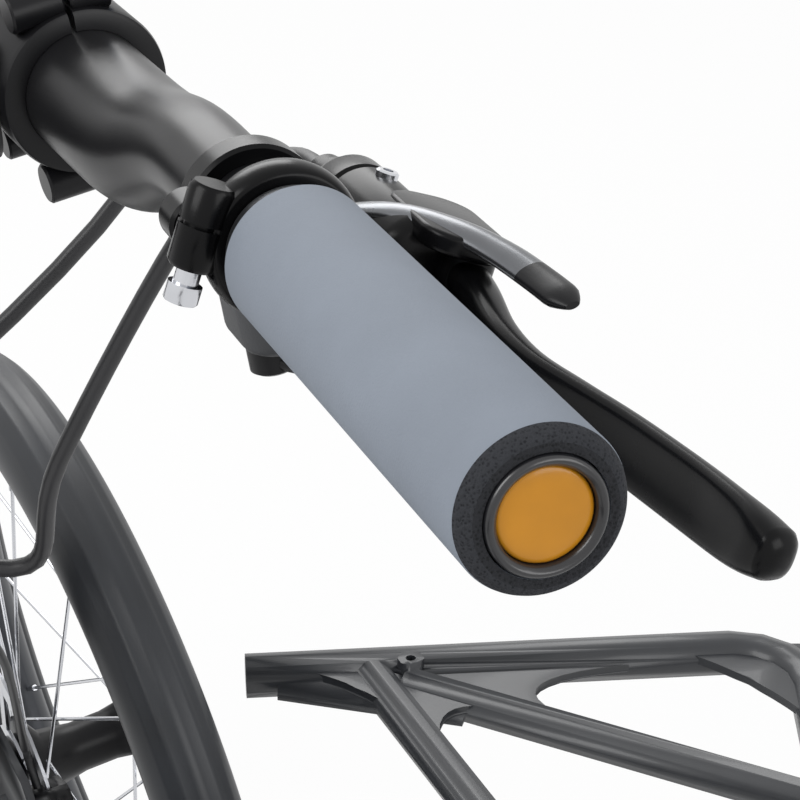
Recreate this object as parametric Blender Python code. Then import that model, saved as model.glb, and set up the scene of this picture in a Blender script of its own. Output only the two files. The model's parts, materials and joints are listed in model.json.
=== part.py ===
"""Front-loading electric cargo bike: a flat tube platform beside a 20-inch front wheel.

The bike stands on its two-legged stand with the front wheel turned to the left and the
handlebar swung a quarter turn clockwise, the way it is parked in a narrow place.
Metres, +X forward, +Y to the left, +Z up. The origin is on the ground, at the middle of
the bike's length and width.
"""

import math

import bmesh
import bpy
import numpy as np
from mathutils import Matrix, Vector

# Overall layout
WHEELBASE = 1.607
PLATFORM_HEIGHT = 0.350
PLATFORM_HALF_WIDTH = 0.400
BAR_HEIGHT = 0.9906

# Wheels
TYRE_RADIUS = 0.2505
TYRE_WIDTH = 0.047
RIM_DEPTH = 0.020
RIM_WIDTH = 0.030
SPOKE_COUNT = 24
SPOKE_DIAMETER = 0.0022
HUB_FLANGE_RADIUS = 0.029
FRONT_HUB_WIDTH = 0.074
REAR_HUB_WIDTH = 0.104
AXLE_DIAMETER = 0.010
ROTOR_DIAMETER = 0.160
ROTOR_THICKNESS = 0.0019

# Steering
STEER_LEAN = math.radians(19.0)
FORK_OFFSET = 0.040
FORK_AXIS_Y = 0.085
REST_STEER = math.radians(26.7)
REST_TWIST = math.radians(-90.0)
STEERER_DIAMETER = 0.0286
COLUMN_BOTTOM_HEIGHT = 0.243
COLUMN_HEAD_TOP_HEIGHT = 0.820
FORK_HEAD_BOTTOM_HEIGHT = 0.545
FORK_HEAD_LENGTH = 0.085
ARM_LENGTH = 0.088
ARM_PIN_DIAMETER = 0.008
SWIVEL_X = 0.800
STEM_LENGTH = 0.088

# Frame tubes
BEAM_DIAMETER = 0.046
HEAD_TUBE_DIAMETER = 0.041
SEAT_TUBE_DIAMETER = 0.035
TOP_TUBE_DIAMETER = 0.032
MID_TUBE_DIAMETER = 0.038
STAY_DIAMETER = 0.018
RAIL_DIAMETER = 0.025
BRACE_DIAMETER = 0.022

# Drive
CRANK_CENTRE_X = 0.450
CRANK_CENTRE_HEIGHT = 0.300
CRANK_LENGTH = 0.170
BELT_WIDTH = 0.012
BELT_THICKNESS = 0.004
FRONT_PULLEY_RADIUS = 0.080
REAR_PULLEY_RADIUS = 0.038
BELT_LINE = 0.047

# Saddle and stand
SADDLE_HEIGHT = 0.950
SEATPOST_DIAMETER = 0.0272
STAND_PIVOT_X = 1.200
STAND_PIVOT_HEIGHT = 0.272
STAND_HALF_TRACK = 0.170
STAND_LEG_DIAMETER = 0.020

# Handlebar and what it carries
GRIP_DIAMETER = 0.032
GRIP_LENGTH = 0.130
GRIP_CHAMFER = 0.0035
BAR_DIAMETER = 0.0222
BAR_CENTRE_DIAMETER = 0.0318
BAR_STRAIGHT = 0.190
BAR_BEND = 0.070
BAR_CENTRE_HALF = 0.051
BAR_RISE = 0.016
BAR_BACKSWEEP = math.radians(4.6)
BAR_UPSWEEP = math.radians(3.6)
PLUG_DIAMETER = 0.0222
PLUG_DISC_DIAMETER = 0.0176
LEVER_CLAMP_WIDTH = 0.014

# Details of the frame and steering
COLUMN_HEAD_BOTTOM_HEIGHT = 0.281
COLUMN_ARM_HEIGHT = 0.252
MID_TUBE_TOP_HEIGHT = 0.620
HEAD_BORE_GAP = 0.0022
HEADSET_HEIGHT = 0.009
FORK_CROWN_HEIGHT = 0.508
FORK_LEG_Y = 0.069
ARM_THICKNESS = 0.010
EYE_LIFT = 0.016
EYE_THICKNESS = 0.012
TIE_ROD_DIAMETER = 0.012
SEAT_TUBE_LENGTH = 0.349
CRANK_SHELL_HALF = 0.034
CRANK_SHELL_RADIUS = 0.0235
CRANK_SHELL_BORE = 0.0195
DROPOUT_Y = 0.0675
DROPOUT_THICKNESS = 0.006
PLATFORM_FRONT_BACK = 0.053
PLATFORM_FRONT_SWEEP = 0.024
PLATFORM_REAR_X = 0.930
PLATFORM_CROSS_X = 1.062
PLATFORM_INNER_RIGHT = 0.072
PLATFORM_INNER_LEFT = 0.130
PLATFORM_NODE_OUT = 0.0705
PLATFORM_SLANT_END_Y = 0.3595
STAND_PIN_DIAMETER = 0.014
STAND_TOP_HALF = 0.118
STAND_FOOT_AHEAD = 0.022
STAND_FOOT_HEIGHT = 0.010

# Details of the wheels and brakes
WHEEL_SIDES = 32
HUB_SIDES = 16
ROTOR_ARMS = 5
TYRE_ARC_POINTS = 7
BEAD_HALF = 0.0122
BEAD_RADIUS = 0.2037
SPOKE_LEAD_DEGREES = 58.0
SPOKE_STAGGER = 0.0027
FRONT_SPOKE_WIDTH = 0.0750
REAR_SPOKE_WIDTH = 0.0680
REAR_FLANGE_RADIUS = 0.046
REAR_HUB_END = 0.0605
REAR_PULLEY_BORE = 0.020
ROTOR_BORE_RADIUS = 0.022
FRONT_ROTOR_Y = 0.0475
REAR_ROTOR_Y = 0.0475
CALIPER_WIDTH = 0.020
CALIPER_LENGTH = 0.030
CALIPER_HEIGHT = 0.024
FRONT_CALIPER_ANGLE = math.radians(165.0)
REAR_CALIPER_ANGLE = math.radians(28.0)
HOSE_DIAMETER = 0.005
HOSE_PORT_HEIGHT = 0.868
HOSE_PORT_GAP = 0.0010

# Details of the drive and saddle
SPINDLE_RADIUS = 0.0085
SPINDLE_BOSS_RADIUS = 0.0125
CRANK_ARM_Y = 0.072
PEDAL_PIN_RADIUS = 0.0045
GEAR_CASE_INNER = 0.0346
GEAR_CASE_OUTER = 0.0405
MOTOR_RADIUS = 0.052
MOTOR_AHEAD = 0.065
MOTOR_BELOW = 0.078
BATTERY_START = 0.135
BATTERY_LENGTH = 0.340
BATTERY_DEPTH = 0.084
BATTERY_WIDTH = 0.078
BATTERY_RAIL_THICKNESS = 0.008
SADDLE_STACK = 0.058
SADDLE_RAIL_RADIUS = 0.0035
SEATPOST_BOTTOM = 0.150

# Details of the handlebar and its controls
PLUG_DEPTH = 0.006
STEM_CLAMP_WIDTH = 0.046
STEM_RISE = 0.046
SWIVEL_RADIUS = 0.0185
SWIVEL_BASE_HEIGHT = 0.030
SPIGOT_RADIUS = 0.011
SPIGOT_HEIGHT = 0.050
LEVER_TILT = math.radians(29.0)
LEVER_PIVOT_IN = 0.146
LEVER_PIVOT_AHEAD = 0.044
LEVER_HUB_THICKNESS = 0.009
LEVER_PIN_DIAMETER = 0.0044
MASTER_IN = 0.146
MASTER_AHEAD = 0.034
SHIFTER_IN = 0.162
SHIFTER_DROP = -0.0265
SHIFTER_POD_THICKNESS = 0.017

# Named clearances
TOUCH_GAP = 0.0003
RUNNING_GAP = 0.0006

# Worked-out places
UP = Vector((0.0, 0.0, 1.0))
LEFT = Vector((0.0, 1.0, 0.0))
FORWARD = Vector((1.0, 0.0, 0.0))
STEER_AXIS = Vector((-math.sin(STEER_LEAN), 0.0, math.cos(STEER_LEAN)))
ARM_DIRECTION = Matrix.Rotation(math.radians(30.0), 3, STEER_AXIS) @ LEFT
ARM_AT_REST = Matrix.Rotation(REST_STEER, 3, STEER_AXIS) @ ARM_DIRECTION
TYRE_CENTRE_RADIUS = TYRE_RADIUS - TYRE_WIDTH / 2
WHEEL_NORMAL_AT_REST = Matrix.Rotation(REST_STEER, 3, STEER_AXIS) @ LEFT


def front_reach():
    """How far the turned front tyre reaches ahead of its own centre."""
    return TYRE_CENTRE_RADIUS * math.sqrt(1 - WHEEL_NORMAL_AT_REST.x ** 2) + TYRE_WIDTH / 2


def turned_axle(axle):
    """Where the front axle's middle stands once the fork is turned to its rest angle."""
    on_axis = axle - FORWARD * FORK_OFFSET + LEFT * FORK_AXIS_Y
    return on_axis + Matrix.Rotation(REST_STEER, 3, STEER_AXIS) @ (axle - on_axis)


def front_axle_drop():
    """How much lower the axle sits so that the leaning tyre still meets the ground."""
    leaning = TYRE_CENTRE_RADIUS * math.sqrt(1 - WHEEL_NORMAL_AT_REST.z ** 2) + TYRE_WIDTH / 2
    straight = Vector((0.0, 0.0, TYRE_RADIUS))
    return turned_axle(straight).z - leaning


REAR_AXLE_X = 0.0
FRONT_END = turned_axle(Vector((WHEELBASE, 0.0, TYRE_RADIUS))).x + front_reach()
MIDDLE_X = (FRONT_END - TYRE_RADIUS) / 2


def at(x, y, z):
    """A point given from the rear axle forward, in the bike's own frame."""
    return Vector((x - MIDDLE_X, y, z))


REAR_AXLE = at(REAR_AXLE_X, 0.0, TYRE_RADIUS)
FRONT_AXLE = at(WHEELBASE, 0.0, TYRE_RADIUS - front_axle_drop())
FORK_AXIS_POINT = FRONT_AXLE - FORWARD * FORK_OFFSET + LEFT * FORK_AXIS_Y
CRANK_CENTRE = at(CRANK_CENTRE_X, 0.0, CRANK_CENTRE_HEIGHT)
SWIVEL_POINT = at(SWIVEL_X, 0.0, BAR_HEIGHT - 0.046)


def on_axis(point, height):
    """The point at a height on the leaning axis through another point."""
    return point + STEER_AXIS * ((height - point.z) / STEER_AXIS.z)


# Shapes

def material(name, color, roughness, metallic=0.0):
    """A plain surface finish."""
    made = bpy.data.materials.get(name)
    if made:
        return made
    made = bpy.data.materials.new(name)
    made.use_nodes = True
    shader = made.node_tree.nodes["Principled BSDF"]
    shader.inputs["Base Color"].default_value = (*color, 1.0)
    shader.inputs["Roughness"].default_value = roughness
    shader.inputs["Metallic"].default_value = metallic
    made.diffuse_color = (*color, 1.0)
    return made


def finish_mesh(name, mesh_edit, surface, angle=40.0):
    """Turn an edited mesh into a smooth-shaded object with its faces pointing out."""
    bmesh.ops.remove_doubles(mesh_edit, verts=mesh_edit.verts, dist=1e-6)
    bmesh.ops.recalc_face_normals(mesh_edit, faces=mesh_edit.faces)
    mesh = bpy.data.meshes.new(name)
    mesh_edit.to_mesh(mesh)
    mesh_edit.free()
    mesh.shade_smooth()
    mesh.set_sharp_from_angle(angle=math.radians(angle))
    thing = bpy.data.objects.new(name, mesh)
    mesh.materials.append(surface)
    bpy.context.scene.collection.objects.link(thing)
    return thing


def frame_along(direction, hint=UP):
    """Two unit vectors square to a direction."""
    side = direction.cross(hint)
    if side.length < 1e-4:
        side = direction.cross(LEFT)
    side.normalize()
    return side, side.cross(direction).normalized()


def sweep(name, points, radii, surface, sides=12, squash=1.0, hint=UP):
    """A closed round bar along points; radii is one radius or one for each point."""
    if isinstance(radii, float):
        radii = [radii] * len(points)
    edit = bmesh.new()
    rings = []
    for index, point in enumerate(points):
        before = points[max(index - 1, 0)]
        after = points[min(index + 1, len(points) - 1)]
        side, top = frame_along((after - before).normalized(), hint)
        ring = []
        for step in range(sides):
            angle = 2 * math.pi * (step + 0.5) / sides
            offset = side * math.cos(angle) + top * math.sin(angle) * squash
            ring.append(edit.verts.new(point + offset * radii[index]))
        rings.append(ring)
    for low, high in zip(rings, rings[1:]):
        for step in range(sides):
            after = (step + 1) % sides
            edit.faces.new((low[step], low[after], high[after], high[step]))
    edit.faces.new(list(reversed(rings[0])))
    edit.faces.new(rings[-1])
    return finish_mesh(name, edit, surface)


def revolve(name, profile, centre, axis, surface, sides=24, closed=False, angle=40.0):
    """Turn a profile of (distance along the axis, radius) round an axis.

    An open profile is closed on the axis at both ends; a closed one makes a ring.
    """
    axis = axis.normalized()
    side, top = frame_along(axis)
    edit = bmesh.new()
    rings = []
    for along, radius in profile:
        if radius < 1e-7:
            rings.append([edit.verts.new(centre + axis * along)])
            continue
        ring = []
        for step in range(sides):
            turn = 2 * math.pi * step / sides
            offset = side * math.cos(turn) + top * math.sin(turn)
            ring.append(edit.verts.new(centre + axis * along + offset * radius))
        rings.append(ring)
    pairs = list(zip(rings, rings[1:]))
    if closed:
        pairs.append((rings[-1], rings[0]))
    for low, high in pairs:
        for step in range(sides):
            after = (step + 1) % sides
            corners = [low[step % len(low)], low[after % len(low)], high[after % len(high)], high[step % len(high)]]
            unique = list(dict.fromkeys(corners))
            edit.faces.new(unique)
    if not closed:
        for ring in (rings[0], rings[-1]):
            if len(ring) > 1:
                edit.faces.new(ring)
    return finish_mesh(name, edit, surface, angle)


def rod(name, start, end, radius, surface, sides=16):
    """A straight round bar."""
    return revolve(name, [(0.0, radius), ((end - start).length, radius)], start, end - start, surface, sides)


def ring(name, centre, axis, inner, outer, length, surface, sides=24, bevel=0.0):
    """A ring with its middle at a centre, and both outer edges bevelled."""
    half = length / 2
    profile = [(-half, inner), (-half, outer - bevel), (-half + bevel, outer),
               (half - bevel, outer), (half, outer - bevel), (half, inner)]
    if bevel == 0.0:
        profile = [(-half, inner), (-half, outer), (half, outer), (half, inner)]
    return revolve(name, profile, centre, axis, surface, sides, closed=True)


def plate(name, outline, thickness, place, surface, bevel=0.0, angle=40.0):
    """A flat plate: an outline in local X and Y, centred in local Z, put at a place."""
    edit = bmesh.new()
    verts = [edit.verts.new((x, y, -thickness / 2)) for x, y in outline]
    face = edit.faces.new(verts)
    made = bmesh.ops.extrude_face_region(edit, geom=[face])
    lifted = [item for item in made["geom"] if isinstance(item, bmesh.types.BMVert)]
    bmesh.ops.translate(edit, verts=lifted, vec=(0.0, 0.0, thickness))
    bmesh.ops.recalc_face_normals(edit, faces=edit.faces)
    if bevel > 0.0:
        rims = [edge for edge in edit.edges if abs(edge.verts[0].co.z - edge.verts[1].co.z) < 1e-7]
        bmesh.ops.bevel(edit, geom=rims, offset=bevel, segments=2, affect='EDGES', profile=0.5)
    bmesh.ops.transform(edit, matrix=place, verts=edit.verts)
    return finish_mesh(name, edit, surface, angle)


def loft(name, sections, surface, angle=50.0):
    """A closed skin through rings of points with the same count."""
    edit = bmesh.new()
    rings = [[edit.verts.new(point) for point in section] for section in sections]
    count = len(rings[0])
    for low, high in zip(rings, rings[1:]):
        for step in range(count):
            after = (step + 1) % count
            edit.faces.new((low[step], low[after], high[after], high[step]))
    edit.faces.new(list(reversed(rings[0])))
    edit.faces.new(rings[-1])
    return finish_mesh(name, edit, surface, angle)


def combine(target, others, operation):
    """Join others to a solid, or cut them from it, and drop them."""
    for other in others:
        step = target.modifiers.new(operation, 'BOOLEAN')
        step.operation = operation
        step.object = other
        step.solver = 'EXACT'
    graph = bpy.context.evaluated_depsgraph_get()
    mesh = bpy.data.meshes.new_from_object(target.evaluated_get(graph))
    target.modifiers.clear()
    target.data = mesh
    edit = bmesh.new()
    edit.from_mesh(mesh)
    bmesh.ops.dissolve_degenerate(edit, dist=1e-6, edges=edit.edges)
    edit.to_mesh(mesh)
    edit.free()
    mesh.shade_smooth()
    mesh.set_sharp_from_angle(angle=math.radians(40.0))
    for other in others:
        bpy.data.objects.remove(other, do_unlink=True)
    return target


def fuse(target, *others):
    return combine(target, others, 'UNION')


def cut(target, *others):
    return combine(target, others, 'DIFFERENCE')


def place_on(matrix, *things):
    """Move finished meshes by a matrix."""
    for thing in things:
        thing.data.transform(matrix)
        thing.data.update()


def set_origin(point, *things):
    """Put objects' origins on a point, such as one on their joint's axis."""
    for thing in things:
        thing.data.transform(Matrix.Translation(-point))
        thing.location = point


def basis(origin, x_axis, y_axis, z_axis):
    """A placing matrix from an origin and three unit vectors."""
    made = Matrix((x_axis, y_axis, z_axis)).transposed().to_4x4()
    made.translation = origin
    return made


def turn_about(point, axis, angle):
    """A rotation about a line."""
    return Matrix.Translation(point) @ Matrix.Rotation(angle, 4, axis) @ Matrix.Translation(-point)


def smooth_path(points, step):
    """Points on a smooth curve through the given ones, about a step apart."""
    route = []
    last = len(points) - 1
    for index in range(last):
        p0 = points[max(index - 1, 0)]
        p1 = points[index]
        p2 = points[index + 1]
        p3 = points[min(index + 2, last)]
        count = max(1, round((p2 - p1).length / step))
        for part in range(count):
            t = part / count
            route.append(0.5 * (2 * p1 + (p2 - p0) * t + (2 * p0 - 5 * p1 + 4 * p2 - p3) * t ** 2
                                + (3 * p1 - p0 - 3 * p2 + p3) * t ** 3))
    route.append(points[last])
    return route


def rounded_box(centre, size, corner, count=3):
    """The outline of a rectangle with round corners."""
    outline = []
    for quarter, (sx, sy) in enumerate(((1, 1), (-1, 1), (-1, -1), (1, -1))):
        cx = centre[0] + sx * (size[0] / 2 - corner)
        cy = centre[1] + sy * (size[1] / 2 - corner)
        for step in range(count + 1):
            turn = math.pi / 2 * (quarter + step / count)
            outline.append((cx + corner * math.cos(turn), cy + corner * math.sin(turn)))
    return outline


# Finishes
FRAME_PAINT = material("frame_paint", (0.030, 0.032, 0.036), 0.45)
BLACK_ALLOY = material("black_alloy", (0.018, 0.018, 0.020), 0.28, 0.6)
SATIN_ALLOY = material("satin_alloy", (0.055, 0.055, 0.060), 0.40, 0.7)
RUBBER = material("tyre_rubber", (0.022, 0.022, 0.024), 0.55)
GRIP_FOAM = material("grip_foam", (0.255, 0.300, 0.335), 0.75)
PLUG_BLACK = material("plug_black", (0.012, 0.012, 0.014), 0.35)
PLUG_AMBER = material("plug_amber", (0.800, 0.380, 0.030), 0.25)
STEEL = material("bright_steel", (0.620, 0.620, 0.640), 0.22, 1.0)
SADDLE_SKIN = material("saddle_skin", (0.020, 0.020, 0.022), 0.60)
BELT_BLACK = material("belt_black", (0.015, 0.015, 0.015), 0.65)
HOSE_BLACK = material("hose_black", (0.020, 0.020, 0.022), 0.45)
CASING = material("casing_plastic", (0.035, 0.036, 0.040), 0.50)


# Frame

def make_main_frame():
    """The welded frame: beam, both head tubes, seat tube, stays and stand bracket."""
    column = SWIVEL_POINT
    head_low = on_axis(column, COLUMN_HEAD_BOTTOM_HEIGHT)
    head_high = on_axis(column, COLUMN_HEAD_TOP_HEIGHT)
    fork_low = on_axis(FORK_AXIS_POINT, FORK_HEAD_BOTTOM_HEIGHT)
    fork_high = fork_low + STEER_AXIS * FORK_HEAD_LENGTH
    seat_top = CRANK_CENTRE + STEER_AXIS * SEAT_TUBE_LENGTH
    beam_z = PLATFORM_HEIGHT - RAIL_DIAMETER / 2 - TOUCH_GAP - BEAM_DIAMETER / 2
    beam_route = [CRANK_CENTRE, at(0.60, 0, beam_z)] + smooth_path([
        at(1.15, 0, beam_z), at(1.215, 0.003, beam_z), at(1.262, 0.030, beam_z + 0.006),
        at(1.295, 0.062, beam_z + 0.036), at(1.325, 0.080, beam_z + 0.090),
        at(1.362, FORK_AXIS_Y, beam_z + 0.150), fork_low + STEER_AXIS * 0.050], 0.030)
    beam_radii = [BEAM_DIAMETER / 2] * (len(beam_route) - 3) + [0.0220, 0.0200, 0.0175]
    beam = sweep("main_frame", beam_route, beam_radii, FRAME_PAINT, 12)
    pieces = [
        rod("head_column", head_low, head_high, HEAD_TUBE_DIAMETER / 2, FRAME_PAINT, 14),
        rod("head_fork", fork_low, fork_high, HEAD_TUBE_DIAMETER / 2, FRAME_PAINT, 14),
        rod("seat_tube", CRANK_CENTRE, seat_top, SEAT_TUBE_DIAMETER / 2, FRAME_PAINT, 12),
        rod("top_tube", on_axis(column, COLUMN_HEAD_TOP_HEIGHT - 0.055),
            CRANK_CENTRE + STEER_AXIS * (SEAT_TUBE_LENGTH - 0.065), TOP_TUBE_DIAMETER / 2, FRAME_PAINT, 12),
        rod("mid_tube", on_axis(column, MID_TUBE_TOP_HEIGHT), CRANK_CENTRE, MID_TUBE_DIAMETER / 2, FRAME_PAINT, 12),
        rod("crank_shell", CRANK_CENTRE - LEFT * CRANK_SHELL_HALF, CRANK_CENTRE + LEFT * CRANK_SHELL_HALF,
            CRANK_SHELL_RADIUS, FRAME_PAINT, 16),
    ]
    for side in (-1, 1):
        dropout = REAR_AXLE + LEFT * side * DROPOUT_Y
        pieces.append(sweep("chain_stay", smooth_path([
            CRANK_CENTRE + LEFT * side * 0.022 - FORWARD * 0.02, at(0.360, side * 0.030, 0.297),
            at(0.270, side * 0.043, 0.289), at(0.150, side * 0.060, 0.276), dropout + Vector((0.018, 0.0, 0.004))], 0.05),
            STAY_DIAMETER / 2, FRAME_PAINT, 8))
        pieces.append(sweep("seat_stay", [
            CRANK_CENTRE + STEER_AXIS * (SEAT_TUBE_LENGTH - 0.045) + LEFT * side * 0.012,
            CRANK_CENTRE + STEER_AXIS * (SEAT_TUBE_LENGTH - 0.075) + LEFT * side * 0.034 - FORWARD * 0.030,
            dropout + Vector((0.012, 0.0, 0.020))], STAY_DIAMETER / 2 - 0.001, FRAME_PAINT, 8))
        outline = [(0.030, -0.010), (0.034, 0.004), (0.020, 0.024), (0.004, 0.034), (-0.012, 0.016),
                   (-0.014, -0.008), (-0.006, -0.016), (0.010, -0.018)]
        place = basis(dropout, FORWARD, UP, FORWARD.cross(UP))
        pieces.append(plate("dropout", outline, DROPOUT_THICKNESS, place, FRAME_PAINT))
    bracket = basis(at(STAND_PIVOT_X, 0, STAND_PIVOT_HEIGHT), FORWARD, UP, FORWARD.cross(UP))
    ear = [(-0.026, beam_z - STAND_PIVOT_HEIGHT), (0.026, beam_z - STAND_PIVOT_HEIGHT), (0.013, -0.012),
           (0.006, -0.017), (-0.006, -0.017), (-0.013, -0.012)]
    pieces.append(plate("stand_bracket", ear, 0.034, bracket, FRAME_PAINT))
    frame = fuse(beam, *pieces)
    bore = STEERER_DIAMETER / 2 + HEAD_BORE_GAP
    cutters = [
        rod("bore", head_low - STEER_AXIS * 0.05, head_high + STEER_AXIS * 0.05, bore, FRAME_PAINT, 14),
        rod("bore", fork_low - STEER_AXIS * 0.05, fork_high + STEER_AXIS * 0.05, bore, FRAME_PAINT, 14),
        rod("bore", CRANK_CENTRE + STEER_AXIS * 0.085, seat_top + STEER_AXIS * 0.05,
            SEATPOST_DIAMETER / 2 + TOUCH_GAP, FRAME_PAINT, 16),
        rod("bore", CRANK_CENTRE - LEFT * 0.06, CRANK_CENTRE + LEFT * 0.06, CRANK_SHELL_BORE, FRAME_PAINT, 14),
        rod("bore", REAR_AXLE - LEFT * 0.10, REAR_AXLE + LEFT * 0.10, AXLE_DIAMETER / 2 + TOUCH_GAP,
            FRAME_PAINT, 16),
        rod("bore", at(STAND_PIVOT_X, -0.03, STAND_PIVOT_HEIGHT), at(STAND_PIVOT_X, 0.03, STAND_PIVOT_HEIGHT),
            STAND_PIN_DIAMETER / 2 + RUNNING_GAP, FRAME_PAINT, 16),
    ]
    return cut(frame, *cutters)


def make_headset(name, centre, low):
    """One bearing cup between a head tube's end and the tube that turns in it."""
    turn = -1 if low else 1
    half = HEADSET_HEIGHT / 2
    middle = centre + STEER_AXIS * turn * (half + TOUCH_GAP)
    return ring(name, middle, STEER_AXIS, STEERER_DIAMETER / 2 + TOUCH_GAP, HEAD_TUBE_DIAMETER / 2 + 0.002,
                HEADSET_HEIGHT, BLACK_ALLOY, 18)


def make_platform():
    """The flat truss: an outer loop open round the wheel, cross tubes and slanted members."""
    front = WHEELBASE - PLATFORM_FRONT_BACK
    rear = PLATFORM_REAR_X
    half = PLATFORM_HALF_WIDTH - RAIL_DIAMETER / 2
    corner = 0.042
    z = PLATFORM_HEIGHT
    ends = {-1: PLATFORM_INNER_RIGHT, 1: PLATFORM_INNER_LEFT}
    bend = front + PLATFORM_FRONT_SWEEP - corner
    quarter = [at(front + PLATFORM_FRONT_SWEEP, half - corner, z)]
    for step in (1, 2, 3):
        turn = math.pi / 2 * step / 4
        quarter.append(at(bend + corner * math.cos(turn), half - corner + corner * math.sin(turn), z))
    quarter.append(at(bend, half, z))
    quarter.append(at(rear + corner, half, z))
    for step in (1, 2, 3):
        turn = math.pi / 2 * (1 + step / 4)
        quarter.append(at(rear + corner + corner * math.cos(turn), half - corner + corner * math.sin(turn), z))
    quarter.append(at(rear, half - corner, z))
    mirrored = [Vector((p.x, -p.y, p.z)) for p in reversed(quarter)]
    route = [at(front, ends[1], z)] + quarter + mirrored + [at(front, -ends[-1], z)]
    loop = sweep("platform_frame", route, RAIL_DIAMETER / 2, FRAME_PAINT, 10)
    pieces = [rod("cross", at(PLATFORM_CROSS_X, -half, z), at(PLATFORM_CROSS_X, half, z),
                  RAIL_DIAMETER / 2 - 0.0004, FRAME_PAINT, 10)]
    radius = BRACE_DIAMETER / 2
    for side in (-1, 1):
        node_y = ends[side] + PLATFORM_NODE_OUT
        node = at(front, side * node_y, z)
        slanted = at(PLATFORM_CROSS_X, side * PLATFORM_SLANT_END_Y, z)
        pieces.append(rod("slanted", node, slanted, radius, FRAME_PAINT, 10))
        pieces.append(rod("strut", at(front - 0.010, side * (node_y + 0.020), z),
                          at(front - 0.127, side * half, z), radius, FRAME_PAINT, 10))
        middle = node.lerp(slanted, 0.62)
        pieces.append(rod("strut", middle, at(PLATFORM_CROSS_X + 0.070, side * half, z), radius - 0.001,
                          FRAME_PAINT, 8))
        pieces.append(rod("strut", at(PLATFORM_CROSS_X, side * 0.060, z), at(rear, side * (half - 0.045), z),
                          radius - 0.001, FRAME_PAINT, 12))
        gusset = [(-0.020, -side * 0.052), (0.0, -side * 0.052), (0.0, side * 0.062), (-0.046, side * 0.050)]
        place = Matrix.Translation(node - UP * 0.001)
        pieces.append(plate("gusset", gusset, 0.004, place, FRAME_PAINT))
        pieces.append(ring("boss", at(front - 0.004, side * (node_y + 0.022), z + RAIL_DIAMETER / 2 - 0.001),
                           UP, 0.003, 0.0075, 0.006, FRAME_PAINT, 8))
    return fuse(loop, *pieces)


def make_stand():
    """Two legs on a cross pin, spread to a wide track, with flat feet."""
    pivot = at(STAND_PIVOT_X, 0, STAND_PIVOT_HEIGHT)
    pin = STAND_PIN_DIAMETER / 2
    stand = rod("centre_stand", pivot - LEFT * STAND_TOP_HALF, pivot + LEFT * STAND_TOP_HALF, pin, BLACK_ALLOY, 16)
    pieces = []
    for side in (-1, 1):
        knee = pivot + LEFT * side * STAND_TOP_HALF
        foot = at(STAND_PIVOT_X + STAND_FOOT_AHEAD, side * STAND_HALF_TRACK, STAND_FOOT_HEIGHT)
        pieces.append(sweep("leg", [pivot + LEFT * side * 0.030, pivot + LEFT * side * (STAND_TOP_HALF - 0.012),
                                    knee + Vector((0.001, side * 0.006, -0.012)), foot],
                            STAND_LEG_DIAMETER / 2, BLACK_ALLOY, 10))
        place = Matrix.Translation(Vector((foot.x, foot.y, STAND_FOOT_HEIGHT / 2)))
        pieces.append(plate("foot", rounded_box((0, 0), (0.052, 0.034), 0.010, 2), STAND_FOOT_HEIGHT, place, RUBBER))
    stand = fuse(stand, *pieces)
    set_origin(pivot, stand)
    return stand


# Wheels

def make_tyre(name, centre, axis):
    """A tyre with round walls, its beads held inside the rim's hooks."""
    section = [(-BEAD_HALF, BEAD_RADIUS), (-BEAD_HALF, BEAD_RADIUS + 0.0048)]
    for step in range(TYRE_ARC_POINTS):
        turn = math.radians(215 - 250 * step / (TYRE_ARC_POINTS - 1))
        section.append((TYRE_WIDTH / 2 * math.cos(turn), TYRE_CENTRE_RADIUS + TYRE_WIDTH / 2 * math.sin(turn)))
    section += [(BEAD_HALF, BEAD_RADIUS + 0.0048), (BEAD_HALF, BEAD_RADIUS)]
    return revolve(name, section, centre, axis, RUBBER, WHEEL_SIDES, closed=True)


def make_rim(name, centre, axis, hub_width, flange_radius):
    """A box rim with its spokes, which end just short of the hub's flanges."""
    half = RIM_WIDTH / 2
    hook = BEAD_HALF + TOUCH_GAP
    floor = BEAD_RADIUS - TOUCH_GAP
    section = [(-half, floor + 0.0042), (-hook, floor + 0.0042), (-hook, floor), (hook, floor),
               (hook, floor + 0.0042), (half, floor + 0.0042), (half, floor - 0.006),
               (half * 0.45, floor - RIM_DEPTH), (-half * 0.45, floor - RIM_DEPTH), (-half, floor - 0.006)]
    rim = revolve(name, section, centre, axis, SATIN_ALLOY, WHEEL_SIDES, closed=True)
    spokes = bmesh.new()
    start_radius = flange_radius + 0.0014
    end_radius = floor - RIM_DEPTH * 0.75
    lead = math.radians(SPOKE_LEAD_DEGREES)
    side_way, top_way = frame_along(axis)
    for index in range(SPOKE_COUNT):
        flange = 1 if index % 2 else -1
        leading = 1 if (index // 2) % 2 else -1
        rim_turn = 2 * math.pi * (index + 0.5) / SPOKE_COUNT
        hub_turn = rim_turn + leading * lead
        near = centre + axis * (flange * hub_width / 2 + leading * SPOKE_STAGGER) + (
            side_way * math.cos(hub_turn) + top_way * math.sin(hub_turn)) * start_radius
        far = centre + axis * flange * 0.004 + (
            side_way * math.cos(rim_turn) + top_way * math.sin(rim_turn)) * end_radius
        side, top = frame_along((far - near).normalized())
        ends = []
        for point in (near, far):
            ends.append([spokes.verts.new(point + (side * math.cos(a) + top * math.sin(a)) * SPOKE_DIAMETER / 2)
                         for a in (2 * math.pi * k / 4 for k in range(4))])
        for step in range(4):
            spokes.faces.new((ends[0][step], ends[0][(step + 1) % 4], ends[1][(step + 1) % 4], ends[1][step]))
        spokes.faces.new(list(reversed(ends[0])))
        spokes.faces.new(ends[1])
    return fuse(rim, finish_mesh("spokes", spokes, STEEL))


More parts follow.
